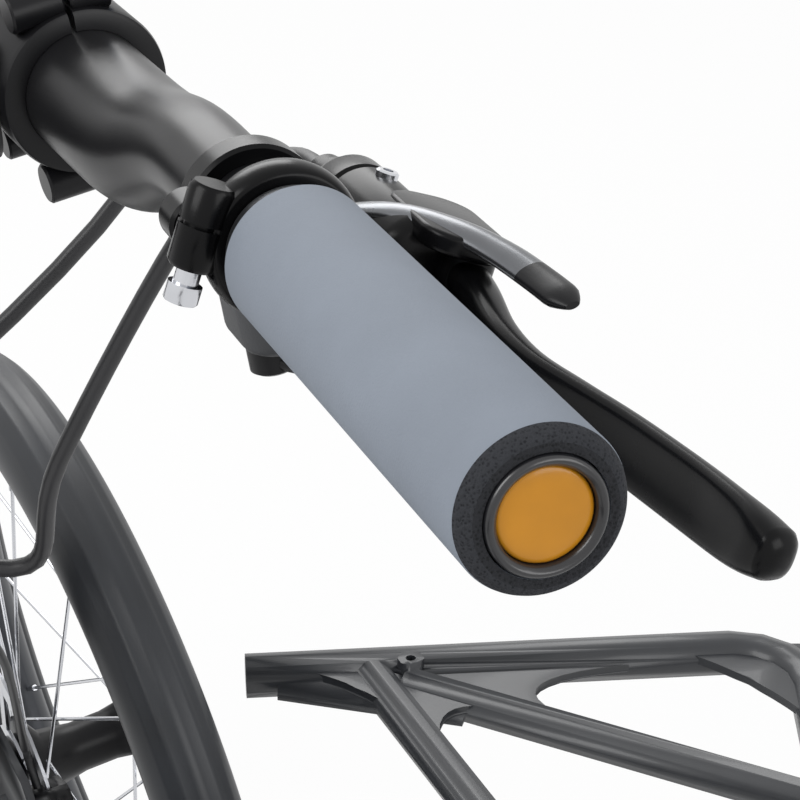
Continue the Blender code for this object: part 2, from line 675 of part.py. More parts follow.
def make_wheel(prefix, centre, hub_profile, hub_width, flange_radius, rotor_y):
    """Tyre, spoked rim, hub and brake rotor, all turning on one axle."""
    tyre = make_tyre(prefix + "_tyre", centre, LEFT)
    rim = make_rim(prefix + "_spoked_rim", centre, LEFT, hub_width, flange_radius)
    hub = revolve(prefix + "_hub", hub_profile, centre, LEFT, BLACK_ALLOY, HUB_SIDES, closed=True)
    rotor = make_rotor(prefix + "_brake_rotor", centre + LEFT * rotor_y)
    return [tyre, rim, hub, rotor]


def make_rotor(name, centre):
    """A thin brake disc: a braking ring on slanted arms."""
    radius = ROTOR_DIAMETER / 2
    disc = ring(name, centre, LEFT, radius - 0.015, radius, ROTOR_THICKNESS, STEEL, 24)
    carrier = ring("carrier", centre, LEFT, ROTOR_BORE_RADIUS, ROTOR_BORE_RADIUS + 0.007, ROTOR_THICKNESS,
                   STEEL, HUB_SIDES)
    arms = []
    for index in range(ROTOR_ARMS):
        turn = 2 * math.pi * index / ROTOR_ARMS
        near = Vector((math.cos(turn), 0, math.sin(turn))) * (ROTOR_BORE_RADIUS + 0.004)
        far = Vector((math.cos(turn + 0.5), 0, math.sin(turn + 0.5))) * (radius - 0.011)
        along = (far - near).normalized()
        place = basis(centre + (near + far) / 2, along, LEFT.cross(along), along.cross(LEFT.cross(along)))
        arms.append(plate("arm", rounded_box((0, 0), ((far - near).length, 0.007), 0.001, 1),
                          ROTOR_THICKNESS, place, STEEL))
    return fuse(disc, carrier, *arms)


def front_hub_profile():
    """A slim hub with two flanges, bored for its axle; the brake disc sits on the left end."""
    bore = AXLE_DIAMETER / 2 + RUNNING_GAP
    width = FRONT_HUB_WIDTH / 2
    return [(-width - 0.008, bore), (-width - 0.008, 0.013), (-width - 0.0045, 0.015),
            (-width - 0.0045, HUB_FLANGE_RADIUS), (-width - 0.0005, HUB_FLANGE_RADIUS), (-width + 0.006, 0.019),
            (-0.010, 0.0155), (0.010, 0.0155),
            (width - 0.006, 0.019), (width + 0.0005, HUB_FLANGE_RADIUS), (width + 0.0045, HUB_FLANGE_RADIUS),
            (width + 0.0050, ROTOR_BORE_RADIUS - TOUCH_GAP), (FRONT_ROTOR_Y + 0.003, ROTOR_BORE_RADIUS - TOUCH_GAP),
            (FRONT_ROTOR_Y + 0.003, bore)]


def rear_hub_profile():
    """A wide gear hub shell between its flanges, with the rotor left and the pulley right."""
    bore = AXLE_DIAMETER / 2 + RUNNING_GAP
    width = REAR_HUB_WIDTH / 2 - 0.020
    seat = REAR_PULLEY_BORE * math.cos(math.pi / HUB_SIDES) - TOUCH_GAP
    return [(-REAR_HUB_END, bore), (-REAR_HUB_END, 0.015), (-REAR_HUB_END + 0.003, 0.016),
            (-BELT_LINE - 0.008, seat), (-BELT_LINE + 0.011, seat),
            (-width - 0.0035, 0.034), (-width - 0.0035, REAR_FLANGE_RADIUS), (-width + 0.0005, REAR_FLANGE_RADIUS),
            (-width + 0.006, 0.039), (width - 0.006, 0.039), (width - 0.0005, REAR_FLANGE_RADIUS),
            (width + 0.0035, REAR_FLANGE_RADIUS), (width + 0.0035, 0.032), (REAR_ROTOR_Y - 0.006, 0.024),
            (REAR_ROTOR_Y - 0.006, ROTOR_BORE_RADIUS - TOUCH_GAP),
            (REAR_ROTOR_Y + 0.004, ROTOR_BORE_RADIUS - TOUCH_GAP), (REAR_ROTOR_Y + 0.004, 0.014),
            (REAR_HUB_END, 0.013), (REAR_HUB_END, bore)]


# Fork and steering linkage

def make_fork():
    """A one-legged fork: steerer, crown, a single left leg, brake tab and steering arm."""
    head_low = on_axis(FORK_AXIS_POINT, FORK_HEAD_BOTTOM_HEIGHT)
    crown = on_axis(FORK_AXIS_POINT, FORK_CROWN_HEIGHT)
    top = head_low + STEER_AXIS * (FORK_HEAD_LENGTH + HEADSET_HEIGHT + 0.006)
    leg_end = FRONT_AXLE + LEFT * FORK_LEG_Y
    steerer = rod("fork", crown, top, STEERER_DIAMETER / 2, FRAME_PAINT, 16)
    under = crown - STEER_AXIS * 0.060
    route = smooth_path([crown + STEER_AXIS * 0.012, crown - STEER_AXIS * 0.020, under,
                         under.lerp(leg_end, 0.35), under.lerp(leg_end, 0.7) + LEFT * 0.002, leg_end], 0.040)
    radii = [0.0190 - 0.0050 * index / (len(route) - 1) for index in range(len(route))]
    leg = sweep("leg", route, radii, FRAME_PAINT, 10, hint=FORWARD)
    boss = rod("boss", leg_end - LEFT * 0.010, leg_end + LEFT * 0.012, 0.019, FRAME_PAINT, 14)
    arm = make_arm("arm", crown)
    calliper = FRONT_AXLE + caliper_offset(FRONT_CALIPER_ANGLE)
    tab_y = FRONT_ROTOR_Y + CALIPER_WIDTH / 2 + TOUCH_GAP + 0.0025
    place = basis(FRONT_AXLE + LEFT * tab_y, FORWARD, UP, FORWARD.cross(UP))
    local = calliper - FRONT_AXLE
    tab = plate("tab", [(local.x - 0.020, local.z - 0.018), (local.x + 0.016, local.z - 0.020), (0.004, 0.002),
                        (-0.020, 0.060), (local.x - 0.004, local.z + 0.024)], 0.005, place, FRAME_PAINT)
    fork = fuse(steerer, leg, boss, arm, tab)
    cut(fork, rod("bore", FRONT_AXLE, FRONT_AXLE + LEFT * 0.12, AXLE_DIAMETER / 2 + TOUCH_GAP, FRAME_PAINT, 16))
    return fork


def make_arm(name, centre):
    """A steering arm square to the leaning axis, with its pin standing up."""
    reach = ARM_DIRECTION * ARM_LENGTH
    across = STEER_AXIS.cross(ARM_DIRECTION)
    place = basis(centre, ARM_DIRECTION, across, STEER_AXIS)
    outline = []
    for step in range(7):
        turn = math.pi / 2 + math.pi * step / 6
        outline.append((0.019 * math.cos(turn), 0.019 * math.sin(turn)))
    for step in range(7):
        turn = -math.pi / 2 + math.pi * step / 6
        outline.append((ARM_LENGTH + 0.010 * math.cos(turn), 0.010 * math.sin(turn)))
    arm = plate(name, outline, ARM_THICKNESS, place, BLACK_ALLOY)
    pin = rod("pin", centre + reach, centre + reach + STEER_AXIS * (EYE_LIFT + EYE_THICKNESS / 2 + 0.003),
              ARM_PIN_DIAMETER / 2, STEEL, 16)
    return fuse(arm, pin)


def make_tie_rod():
    """The link under the platform, with an eye on each steering arm's pin."""
    pin = ARM_AT_REST * ARM_LENGTH + STEER_AXIS * EYE_LIFT
    low = on_axis(SWIVEL_POINT, COLUMN_ARM_HEIGHT) + pin
    high = on_axis(FORK_AXIS_POINT, FORK_CROWN_HEIGHT) + pin
    bar = rod("tie_rod", low, high, TIE_ROD_DIAMETER / 2, BLACK_ALLOY, 12)
    eyes = [rod("eye", end - STEER_AXIS * EYE_THICKNESS / 2, end + STEER_AXIS * EYE_THICKNESS / 2,
                ARM_PIN_DIAMETER / 2 + 0.005, BLACK_ALLOY, 20) for end in (low, high)]
    bar = fuse(bar, *eyes)
    bores = [rod("bore", end - STEER_AXIS * 0.02, end + STEER_AXIS * 0.02, ARM_PIN_DIAMETER / 2 + RUNNING_GAP,
                 BLACK_ALLOY, 16) for end in (low, high)]
    return cut(bar, *bores)


def make_column():
    """The long steering column, bent upright at its top into the swivel's spigot."""
    low = on_axis(SWIVEL_POINT, COLUMN_BOTTOM_HEIGHT)
    base_low = SWIVEL_POINT - UP * SWIVEL_BASE_HEIGHT
    column = rod("steering_column", low, SWIVEL_POINT - STEER_AXIS * 0.012, STEERER_DIAMETER / 2, SATIN_ALLOY, 20)
    base = revolve("base", [(0.0, 0.0), (0.0, 0.0150), (0.006, SWIVEL_RADIUS), (SWIVEL_BASE_HEIGHT - TOUCH_GAP, SWIVEL_RADIUS),
                            (SWIVEL_BASE_HEIGHT - TOUCH_GAP, SPIGOT_RADIUS),
                            (SWIVEL_BASE_HEIGHT + SPIGOT_HEIGHT, SPIGOT_RADIUS), (SWIVEL_BASE_HEIGHT + SPIGOT_HEIGHT, 0.0)],
                   base_low, UP, SATIN_ALLOY, 24)
    return fuse(column, base)


# Handlebar and its controls, in the bar's own frame: middle at the origin, riding forward +X

def bar_bend_end(side):
    """Where the straight outer part of the bar begins."""
    return Vector((-BAR_BEND * math.sin(BAR_BACKSWEEP) / 2, side * (BAR_CENTRE_HALF + BAR_BEND * 0.97), BAR_RISE))


def bar_outward(side):
    """The direction of a grip, from the middle out."""
    return Vector((-math.sin(BAR_BACKSWEEP) * math.cos(BAR_UPSWEEP),
                   side * math.cos(BAR_BACKSWEEP) * math.cos(BAR_UPSWEEP), math.sin(BAR_UPSWEEP)))


def control_point(side, inward, ahead, above, tilt=0.0):
    """A place beside a grip: distances from the grip's outer end in, ahead and above.

    With a tilt, the ahead and above directions are rolled down round the bar.
    """
    axis = -bar_outward(side)
    up = (UP - axis * UP.dot(axis)).normalized()
    front = up.cross(axis)
    if front.x < 0:
        front = -front
    ahead_way = front * math.cos(tilt) - up * math.sin(tilt)
    above_way = front * math.sin(tilt) + up * math.cos(tilt)
    end = bar_bend_end(side) + bar_outward(side) * BAR_STRAIGHT
    return end + axis * inward + ahead_way * ahead + above_way * above


def control_axes(side, tilt=0.0):
    """Unit vectors inward, ahead and above at a grip."""
    origin = control_point(side, 0, 0, 0, tilt)
    return (control_point(side, 1, 0, 0, tilt) - origin, control_point(side, 0, 1, 0, tilt) - origin,
            control_point(side, 0, 0, 1, tilt) - origin)


def make_handlebar():
    """A riser bar: thick clamped middle, tapered bends and straight ends under the grips."""
    halves = []
    for side in (-1, 1):
        bend = bar_bend_end(side)
        out = bar_outward(side)
        inner = Vector((0.0, side * BAR_CENTRE_HALF, 0.0))
        bezier = []
        for step in range(1, 6):
            t = step / 6
            pull = BAR_BEND * 0.45
            c1 = inner + Vector((0.0, side * pull, 0.0))
            c2 = bend - out * pull
            bezier.append((inner * (1 - t) ** 3 + c1 * 3 * t * (1 - t) ** 2 + c2 * 3 * t * t * (1 - t) + bend * t ** 3,
                           BAR_CENTRE_DIAMETER / 2 + (BAR_DIAMETER - BAR_CENTRE_DIAMETER) / 2 * (3 * t * t - 2 * t ** 3)))
        end = bend + out * (BAR_STRAIGHT - PLUG_DEPTH)
        half = [(inner, BAR_CENTRE_DIAMETER / 2)] + bezier + [(bend, BAR_DIAMETER / 2), (end, BAR_DIAMETER / 2)]
        halves.append(half)
    route = list(reversed(halves[0])) + halves[1]
    return sweep("handlebar", [p for p, r in route], [r for p, r in route], SATIN_ALLOY, 16)


def make_grip(side, word):
    """A foam grip with a chamfered outer end, its bar-end plug and the plug's domed disc."""
    axis = -bar_outward(side)
    end = control_point(side, 0, 0, 0)
    bore = BAR_DIAMETER / 2 + TOUCH_GAP
    outer = GRIP_DIAMETER / 2
    grip = revolve("grip_" + word, [(0.0, bore), (0.0, outer - 0.0020), (0.0006, outer - 0.0014),
                                    (GRIP_CHAMFER, outer), (GRIP_LENGTH - 0.001, outer),
                                    (GRIP_LENGTH, outer - 0.0008), (GRIP_LENGTH, bore)],
                   end, axis, GRIP_FOAM, 20, closed=True)
    lip = PLUG_DIAMETER / 2
    recess = PLUG_DISC_DIAMETER / 2 + TOUCH_GAP
    plug = revolve("bar_end_plug_" + word, [
        (PLUG_DEPTH - TOUCH_GAP, 0.0), (PLUG_DEPTH - TOUCH_GAP, lip), (-0.0004, lip), (-0.0011, lip - 0.0006),
        (-0.0011, lip - 0.0014), (-0.0003, recess), (0.0028, recess), (0.0028, 0.0)], end, axis, PLUG_BLACK, 20)
    disc = revolve("plug_disc_" + word, [
        (0.0025, 0.0), (0.0025, PLUG_DISC_DIAMETER / 2), (0.0012, PLUG_DISC_DIAMETER / 2),
        (0.0005, PLUG_DISC_DIAMETER / 2 - 0.0012), (0.0001, 0.0045), (0.0, 0.0)], end, axis, PLUG_AMBER, 20)
    return [grip, plug, disc]


def lever_pivot(side):
    return control_point(side, LEVER_PIVOT_IN, LEVER_PIVOT_AHEAD, 0.0, LEVER_TILT)


def make_brake_perch(side, word):
    """The clamp on the bar, with its master cylinder and the fork that holds the lever."""
    axis, ahead, above = control_axes(side, LEVER_TILT)
    middle = GRIP_LENGTH + TOUCH_GAP + 0.001 + LEVER_CLAMP_WIDTH / 2

    def point(inward, forward, up=0.0):
        return control_point(side, inward, forward, up, LEVER_TILT)

    collar = ring("brake_perch_" + word, point(middle, 0), axis, BAR_DIAMETER / 2 - 0.001, 0.0168,
                  LEVER_CLAMP_WIDTH, BLACK_ALLOY, 16, 0.0015)
    neck = sweep("neck", [point(middle, 0.0135), point(middle + 0.003, 0.026), point(middle + 0.010, 0.034)],
                 [0.0075, 0.0070, 0.0085], BLACK_ALLOY, 8)
    cylinder = revolve("cylinder", [(0.0, 0.0), (0.0, 0.0070), (0.004, 0.0098), (0.046, 0.0098), (0.050, 0.0080),
                                    (0.056, 0.0060), (0.062, 0.0055), (0.062, 0.0)],
                       point(MASTER_IN, MASTER_AHEAD), axis, BLACK_ALLOY, 12)
    hand = 1 if side < 0 else -1
    place = basis(lever_pivot(side) + axis * 0.006 - ahead * 0.004, axis, ahead, above * hand)
    block = plate("block", rounded_box((0.0, 0.0), (0.034, 0.020), 0.007, 1), 0.0195, place, BLACK_ALLOY)
    bolt_low = point(middle, -0.0165, -0.0100)
    lug = rod("lug", bolt_low, point(middle, -0.0165, 0.0080), 0.0050, BLACK_ALLOY, 8)
    perch = fuse(collar, neck, cylinder, block, lug)
    slot_place = basis(lever_pivot(side) - axis * 0.010 + ahead * 0.004, axis, ahead, above * hand)
    slot = plate("slot", rounded_box((0.0, 0.0), (0.042, 0.024), 0.003, 1), LEVER_HUB_THICKNESS + 2 * RUNNING_GAP,
                 slot_place, BLACK_ALLOY)
    pivot = lever_pivot(side)
    hole = rod("hole", pivot - above * 0.02, pivot + above * 0.02, LEVER_PIN_DIAMETER / 2 + TOUCH_GAP, BLACK_ALLOY, 12)
    bar = rod("bore", point(middle - 0.03, 0), point(middle + 0.03, 0), BAR_DIAMETER / 2 + TOUCH_GAP, BLACK_ALLOY, 16)
    cut(perch, slot, hole, bar)
    pin = rod("lever_pin_" + word, pivot - above * 0.0097, pivot + above * 0.0097, LEVER_PIN_DIAMETER / 2, STEEL, 12)
    return [perch, pin]


def make_brake_lever(side, word):
    """The blade: a slim neck from the pivot, a broad dished finger part and a hooked tip."""
    axis, ahead, above = control_axes(side, LEVER_TILT)
    stations = [
        (LEVER_PIVOT_IN, LEVER_PIVOT_AHEAD, 0.0045, 0.0040), (0.128, 0.0425, 0.0040, 0.0042),
        (0.114, 0.0420, 0.0036, 0.0042), (0.100, 0.0440, 0.0034, 0.0050), (0.086, 0.0485, 0.0032, 0.0062),
        (0.070, 0.0535, 0.0030, 0.0068), (0.050, 0.0570, 0.0030, 0.0070), (0.032, 0.0590, 0.0031, 0.0068),
        (0.020, 0.0615, 0.0034, 0.0064), (0.012, 0.0655, 0.0040, 0.0056), (0.008, 0.0695, 0.0036, 0.0042)]
    sections = []
    for index, (inward, forward, thick, tall) in enumerate(stations):
        centre = control_point(side, inward, forward, 0.0, LEVER_TILT)
        before = stations[max(index - 1, 0)]
        after = stations[min(index + 1, len(stations) - 1)]
        run = (axis * (after[0] - before[0]) + ahead * (after[1] - before[1])).normalized()
        out = run.cross(above).normalized()
        if out.dot(ahead) < 0:
            out = -out
        section = []
        for step in range(12):
            turn = 2 * math.pi * step / 12
            wide = math.copysign(abs(math.cos(turn)) ** 0.7, math.cos(turn))
            high = math.copysign(abs(math.sin(turn)) ** 0.7, math.sin(turn))
            section.append(centre + out * wide * thick + above * high * tall)
        sections.append(section)
    lever = loft("brake_lever_" + word, sections, BLACK_ALLOY)
    pivot = lever_pivot(side)
    half = LEVER_HUB_THICKNESS / 2
    hub = rod("hub", pivot - above * half, pivot + above * half, 0.0062, BLACK_ALLOY, 18)
    fuse(lever, hub)
    cut(lever, rod("hole", pivot - above * 0.02, pivot + above * 0.02, LEVER_PIN_DIAMETER / 2 + TOUCH_GAP,
                   BLACK_ALLOY, 12))
    return lever


def make_shifter():
    """A gear shifter under the right side of the bar, with a thumb lever and a polished release."""
    side = -1
    axis, ahead, above = control_axes(side)
    half = SHIFTER_POD_THICKNESS / 2

    def point(inward, forward, up):
        return control_point(side, SHIFTER_IN + inward, forward, up)

    collar = ring("shifter_body", point(0, 0, 0), axis, BAR_DIAMETER / 2 - 0.001, 0.0150, 0.008, SATIN_ALLOY, 16)
    pivot = point(0.012, 0.001, SHIFTER_DROP)
    place = basis(pivot, axis, ahead, axis.cross(ahead))
    pod = plate("pod", rounded_box((0.0, 0.0), (0.040, 0.034), 0.012, 2), SHIFTER_POD_THICKNESS, place, SATIN_ALLOY,
                0.002)
    web = rod("web", point(0.001, 0, -0.012), point(0.003, 0, SHIFTER_DROP), 0.0045, SATIN_ALLOY, 10)
    body = fuse(collar, web, pod)
    cut(body, rod("bore", point(-0.02, 0, 0), point(0.02, 0, 0), BAR_DIAMETER / 2 + TOUCH_GAP, SATIN_ALLOY, 16))
    low = half + TOUCH_GAP
    thumb = rod("shifter_thumb_lever", pivot - above * (low + 0.0075), pivot - above * low, 0.0085, BLACK_ALLOY, 14)
    drop = SHIFTER_DROP - low - 0.0050
    fuse(thumb, sweep("blade", [point(0.010, -0.002, drop), point(-0.012, -0.012, drop),
                                point(-0.034, -0.016, drop - 0.001)], [0.0030, 0.0034, 0.0042], BLACK_ALLOY, 8))
    root = point(0.014, 0.012, SHIFTER_DROP + low)
    release = rod("shifter_release_lever", root, root + above * 0.0040, 0.0050, STEEL, 12)
    fuse(release, sweep("blade", [root + above * 0.0020, point(0.013, 0.0162, -0.0090), point(0.006, 0.0200, -0.0030),
                                  point(-0.006, 0.0270, -0.0010), point(-0.020, 0.0345, -0.0020),
                                  point(-0.036, 0.0395, -0.0080), point(-0.060, 0.0425, -0.0110)],
                        [0.0022, 0.0022, 0.0022, 0.0024, 0.0026, 0.0028, 0.0030], STEEL, 8))
    return body, (thumb, pivot), (release, root)


def make_stem():
    """The swivel stem: a socket on the spigot, a short arm and a split clamp for the bar."""
    socket_at = Vector((-STEM_LENGTH, 0.0, -STEM_RISE))
    socket = revolve("stem", [(0.0, 0.0), (0.0, SWIVEL_RADIUS + 0.0008), (0.004, SWIVEL_RADIUS + 0.0016),
                              (STEM_RISE + 0.012, SWIVEL_RADIUS + 0.0010), (STEM_RISE + 0.018, SWIVEL_RADIUS - 0.004),
                              (STEM_RISE + 0.018, 0.0)], socket_at, UP, BLACK_ALLOY, 18)
    arm = sweep("arm", [Vector((-STEM_LENGTH, 0, -0.002)), Vector((-STEM_LENGTH * 0.6, 0, -0.001)), Vector((-0.012, 0, 0))],
                [0.0180, 0.0165, 0.0185], BLACK_ALLOY, 12)
    outer = BAR_CENTRE_DIAMETER / 2 + 0.0055
    half = STEM_CLAMP_WIDTH / 2
    clamp = ring("clamp", Vector((0, 0, 0)), LEFT, 0.010, outer, STEM_CLAMP_WIDTH, BLACK_ALLOY, 20)
    stem = fuse(socket, arm, clamp)
    cover = ring("stem_faceplate", Vector((0, 0, 0)), LEFT, 0.010, outer, STEM_CLAMP_WIDTH, BLACK_ALLOY, 20)
    lugs = []
    for end in (-1, 1):
        for rise in (-1, 1):
            lugs.append(rod("lug", Vector((0.0010, end * (half - 0.0065), rise * 0.0235)),
                            Vector((0.0125, end * (half - 0.0065), rise * 0.0235)), 0.0052, BLACK_ALLOY, 8))
    fuse(cover, *lugs)
    block = plate("split", [(-0.05, -0.05), (0.0008, -0.05), (0.0008, 0.05), (-0.05, 0.05)], 0.10, Matrix.Identity(4),
                  BLACK_ALLOY)
    front = plate("split", [(0.0005, -0.05), (0.05, -0.05), (0.05, 0.05), (0.0005, 0.05)], 0.10, Matrix.Identity(4),
                  BLACK_ALLOY)
    bore = BAR_CENTRE_DIAMETER / 2 + TOUCH_GAP
    cut(cover, block, rod("bore", -LEFT * 0.05, LEFT * 0.05, bore, BLACK_ALLOY, 20))
    stem_lugs = [rod("lug", Vector((-0.014, end * (half - 0.0065), rise * 0.0225)),
                     Vector((0.0003, end * (half - 0.0065), rise * 0.0225)), 0.0052, BLACK_ALLOY, 8)
                 for end in (-1, 1) for rise in (-1, 1)]
    fuse(stem, *stem_lugs)
    cut(stem, front, rod("bore", -LEFT * 0.05, LEFT * 0.05, bore, BLACK_ALLOY, 20),
        rod("bore", socket_at - UP * 0.01, socket_at + UP * (SPIGOT_HEIGHT + 0.001), SPIGOT_RADIUS + TOUCH_GAP,
            BLACK_ALLOY, 16))
    return [stem, cover]


# Drive

def belt_outline(offset, count=14):
    """The belt's path round both pulleys, at an offset from their rims, in X and Z."""
    rear = Vector((REAR_AXLE.x, REAR_AXLE.z))
    front = Vector((CRANK_CENTRE.x, CRANK_CENTRE.z))
    line = front - rear
    heading = math.atan2(line.y, line.x)
    spread = math.asin((FRONT_PULLEY_RADIUS - REAR_PULLEY_RADIUS) / line.length)
    points = []
    for centre, radius, start, sweep_angle in (
            (front, FRONT_PULLEY_RADIUS, heading - math.pi / 2 - spread, math.pi + 2 * spread),
            (rear, REAR_PULLEY_RADIUS, heading + math.pi / 2 + spread, math.pi - 2 * spread)):
        for step in range(count + 1):
            turn = start + sweep_angle * step / count
            points.append(centre + Vector((math.cos(turn), math.sin(turn))) * (radius + offset))
    return points


def make_belt():
    """A flat drive belt, closed round both pulleys."""
    inner = belt_outline(RUNNING_GAP)
    outer = belt_outline(RUNNING_GAP + BELT_THICKNESS)
    edit = bmesh.new()
    rings = []
    for a, b in zip(inner, outer):
        rings.append([edit.verts.new((p.x, -BELT_LINE + y, p.y)) for p, y in (
            (a, -BELT_WIDTH / 2), (b, -BELT_WIDTH / 2), (b, BELT_WIDTH / 2), (a, BELT_WIDTH / 2))])
    for low, high in zip(rings, rings[1:] + rings[:1]):
        for step in range(4):
            edit.faces.new((low[step], low[(step + 1) % 4], high[(step + 1) % 4], high[step]))
    return finish_mesh("drive_belt", edit, BELT_BLACK)


def make_pulleys():
    """The crank's pulley on five arms and the small one on the hub."""
    centre = CRANK_CENTRE - LEFT * BELT_LINE
    front = ring("front_pulley", centre, LEFT, SPINDLE_BOSS_RADIUS + TOUCH_GAP, FRONT_PULLEY_RADIUS,
                 BELT_WIDTH - 0.002, SATIN_ALLOY, 26)
    windows = []
    for index in range(5):
        turn = 2 * math.pi * (index + 0.5) / 5
        middle = centre + Vector((math.cos(turn), 0, math.sin(turn))) * FRONT_PULLEY_RADIUS * 0.58
        windows.append(rod("window", middle - LEFT * 0.02, middle + LEFT * 0.02, 0.0195, SATIN_ALLOY, 10))
    cut(front, *windows)
    rear = ring("rear_pulley", REAR_AXLE - LEFT * BELT_LINE, LEFT, REAR_PULLEY_BORE, REAR_PULLEY_RADIUS,
                BELT_WIDTH - 0.002, SATIN_ALLOY, HUB_SIDES)
    return front, rear


def make_crankset():
    """The spindle with both arms and the pedal pins."""
    spindle = revolve("crankset", [(-0.082, 0.0), (-0.082, 0.0105), (-0.062, 0.0105), (-0.062, SPINDLE_BOSS_RADIUS),
                                   (-BELT_LINE + BELT_WIDTH / 2, SPINDLE_BOSS_RADIUS),
                                   (-BELT_LINE + BELT_WIDTH / 2, SPINDLE_RADIUS), (0.062, SPINDLE_RADIUS),
                                   (0.062, 0.0105), (0.082, 0.0105), (0.082, 0.0)], CRANK_CENTRE, LEFT, BLACK_ALLOY, 16)
    pieces = []
    for side in (-1, 1):
        way = -side
        outline = []
        for step in range(9):
            turn = math.pi / 2 + math.pi * step / 8
            outline.append((way * 0.017 * math.cos(turn), 0.017 * math.sin(turn)))
        for step in range(7):
            turn = -math.pi / 2 + math.pi * step / 6
            outline.append((way * (CRANK_LENGTH + 0.012 * math.cos(turn)), 0.012 * math.sin(turn)))
        place = basis(CRANK_CENTRE + LEFT * side * CRANK_ARM_Y, FORWARD, UP, FORWARD.cross(UP))
        pieces.append(plate("arm", outline, 0.012, place, BLACK_ALLOY))
        eye = CRANK_CENTRE + FORWARD * way * CRANK_LENGTH + LEFT * side * CRANK_ARM_Y
        pieces.append(rod("pin", eye, eye + LEFT * side * 0.096, PEDAL_PIN_RADIUS, BLACK_ALLOY, 10))
    crankset = fuse(spindle, *pieces)
    set_origin(CRANK_CENTRE, crankset)
    return crankset


def make_pedal(side, word):
    """A flat pedal with two windows, bored for its pin."""
    centre = CRANK_CENTRE + FORWARD * -side * CRANK_LENGTH + LEFT * side * (CRANK_ARM_Y + 0.052)
    pedal = plate("pedal_" + word, rounded_box((0, 0), (0.096, 0.082), 0.012, 2), 0.018, Matrix.Translation(centre),
                  BLACK_ALLOY, 0.002)
    windows = [plate("window", rounded_box((end * 0.0290, 0), (0.024, 0.058), 0.005, 1), 0.05,
                     Matrix.Translation(centre), BLACK_ALLOY) for end in (-1, 1)]
    bore = rod("bore", centre - LEFT * 0.06, centre + LEFT * 0.06, PEDAL_PIN_RADIUS + RUNNING_GAP, BLACK_ALLOY, 12)
    cut(pedal, bore, *windows)
    set_origin(centre, pedal)
    return pedal


def make_motor():
    """The motor hung under the crank shell, with its flat gear case round the spindle."""
    middle = CRANK_CENTRE + Vector((MOTOR_AHEAD, 0.0, -MOTOR_BELOW))
    body = revolve("motor_unit", [(-GEAR_CASE_OUTER, 0.0), (-GEAR_CASE_OUTER, MOTOR_RADIUS - 0.004),
                                  (-GEAR_CASE_OUTER + 0.004, MOTOR_RADIUS), (0.048, MOTOR_RADIUS),
                                  (0.052, MOTOR_RADIUS - 0.003), (0.056, MOTOR_RADIUS - 0.010), (0.058, 0.020),
                                  (0.058, 0.0)], middle, LEFT, CASING, 20)
    outline = []
    small = 0.028
    away = math.atan2(-MOTOR_BELOW, MOTOR_AHEAD)
    for centre, radius, facing in ((Vector((0.0, 0.0)), small, away + math.pi),
                                   (Vector((MOTOR_AHEAD, -MOTOR_BELOW)), MOTOR_RADIUS - 0.003, away)):
        for step in range(9):
            turn = facing - math.pi / 2 + math.pi * step / 8
            outline.append((centre.x + radius * math.cos(turn), centre.y + radius * math.sin(turn)))
    thickness = GEAR_CASE_OUTER - GEAR_CASE_INNER
    place = basis(CRANK_CENTRE - LEFT * (GEAR_CASE_INNER + thickness / 2), FORWARD, UP, FORWARD.cross(UP))
    case = plate("case", outline, thickness, place, CASING)
    fuse(body, case)
    return cut(body, rod("bore", CRANK_CENTRE - LEFT * 0.08, CRANK_CENTRE, SPINDLE_BOSS_RADIUS + RUNNING_GAP, CASING, 16))


def make_battery():
    """The battery pack on its rail along the mid tube."""
    top = on_axis(SWIVEL_POINT, MID_TUBE_TOP_HEIGHT)
    along = (top - CRANK_CENTRE).normalized()
    out = along.cross(LEFT) * -1.0
    if out.z < 0:
        out = -out
    middle = CRANK_CENTRE + along * (BATTERY_START + BATTERY_LENGTH / 2)
    rail_out = MID_TUBE_DIAMETER / 2 + TOUCH_GAP + BATTERY_RAIL_THICKNESS / 2
    side = along.cross(out)
    rail = plate("battery_rail", rounded_box((0, 0), (BATTERY_LENGTH - 0.02, 0.034), 0.006, 2), BATTERY_RAIL_THICKNESS,
                 basis(middle + out * rail_out, along, out.cross(along), out), BLACK_ALLOY)
    pack_out = MID_TUBE_DIAMETER / 2 + 2 * TOUCH_GAP + BATTERY_RAIL_THICKNESS + BATTERY_DEPTH / 2
    pack = plate("battery_pack", rounded_box((0, 0), (BATTERY_LENGTH, BATTERY_DEPTH), 0.016, 4), BATTERY_WIDTH,
                 basis(middle + out * pack_out, along, out, side), CASING, 0.008)
    return rail, pack


# Saddle

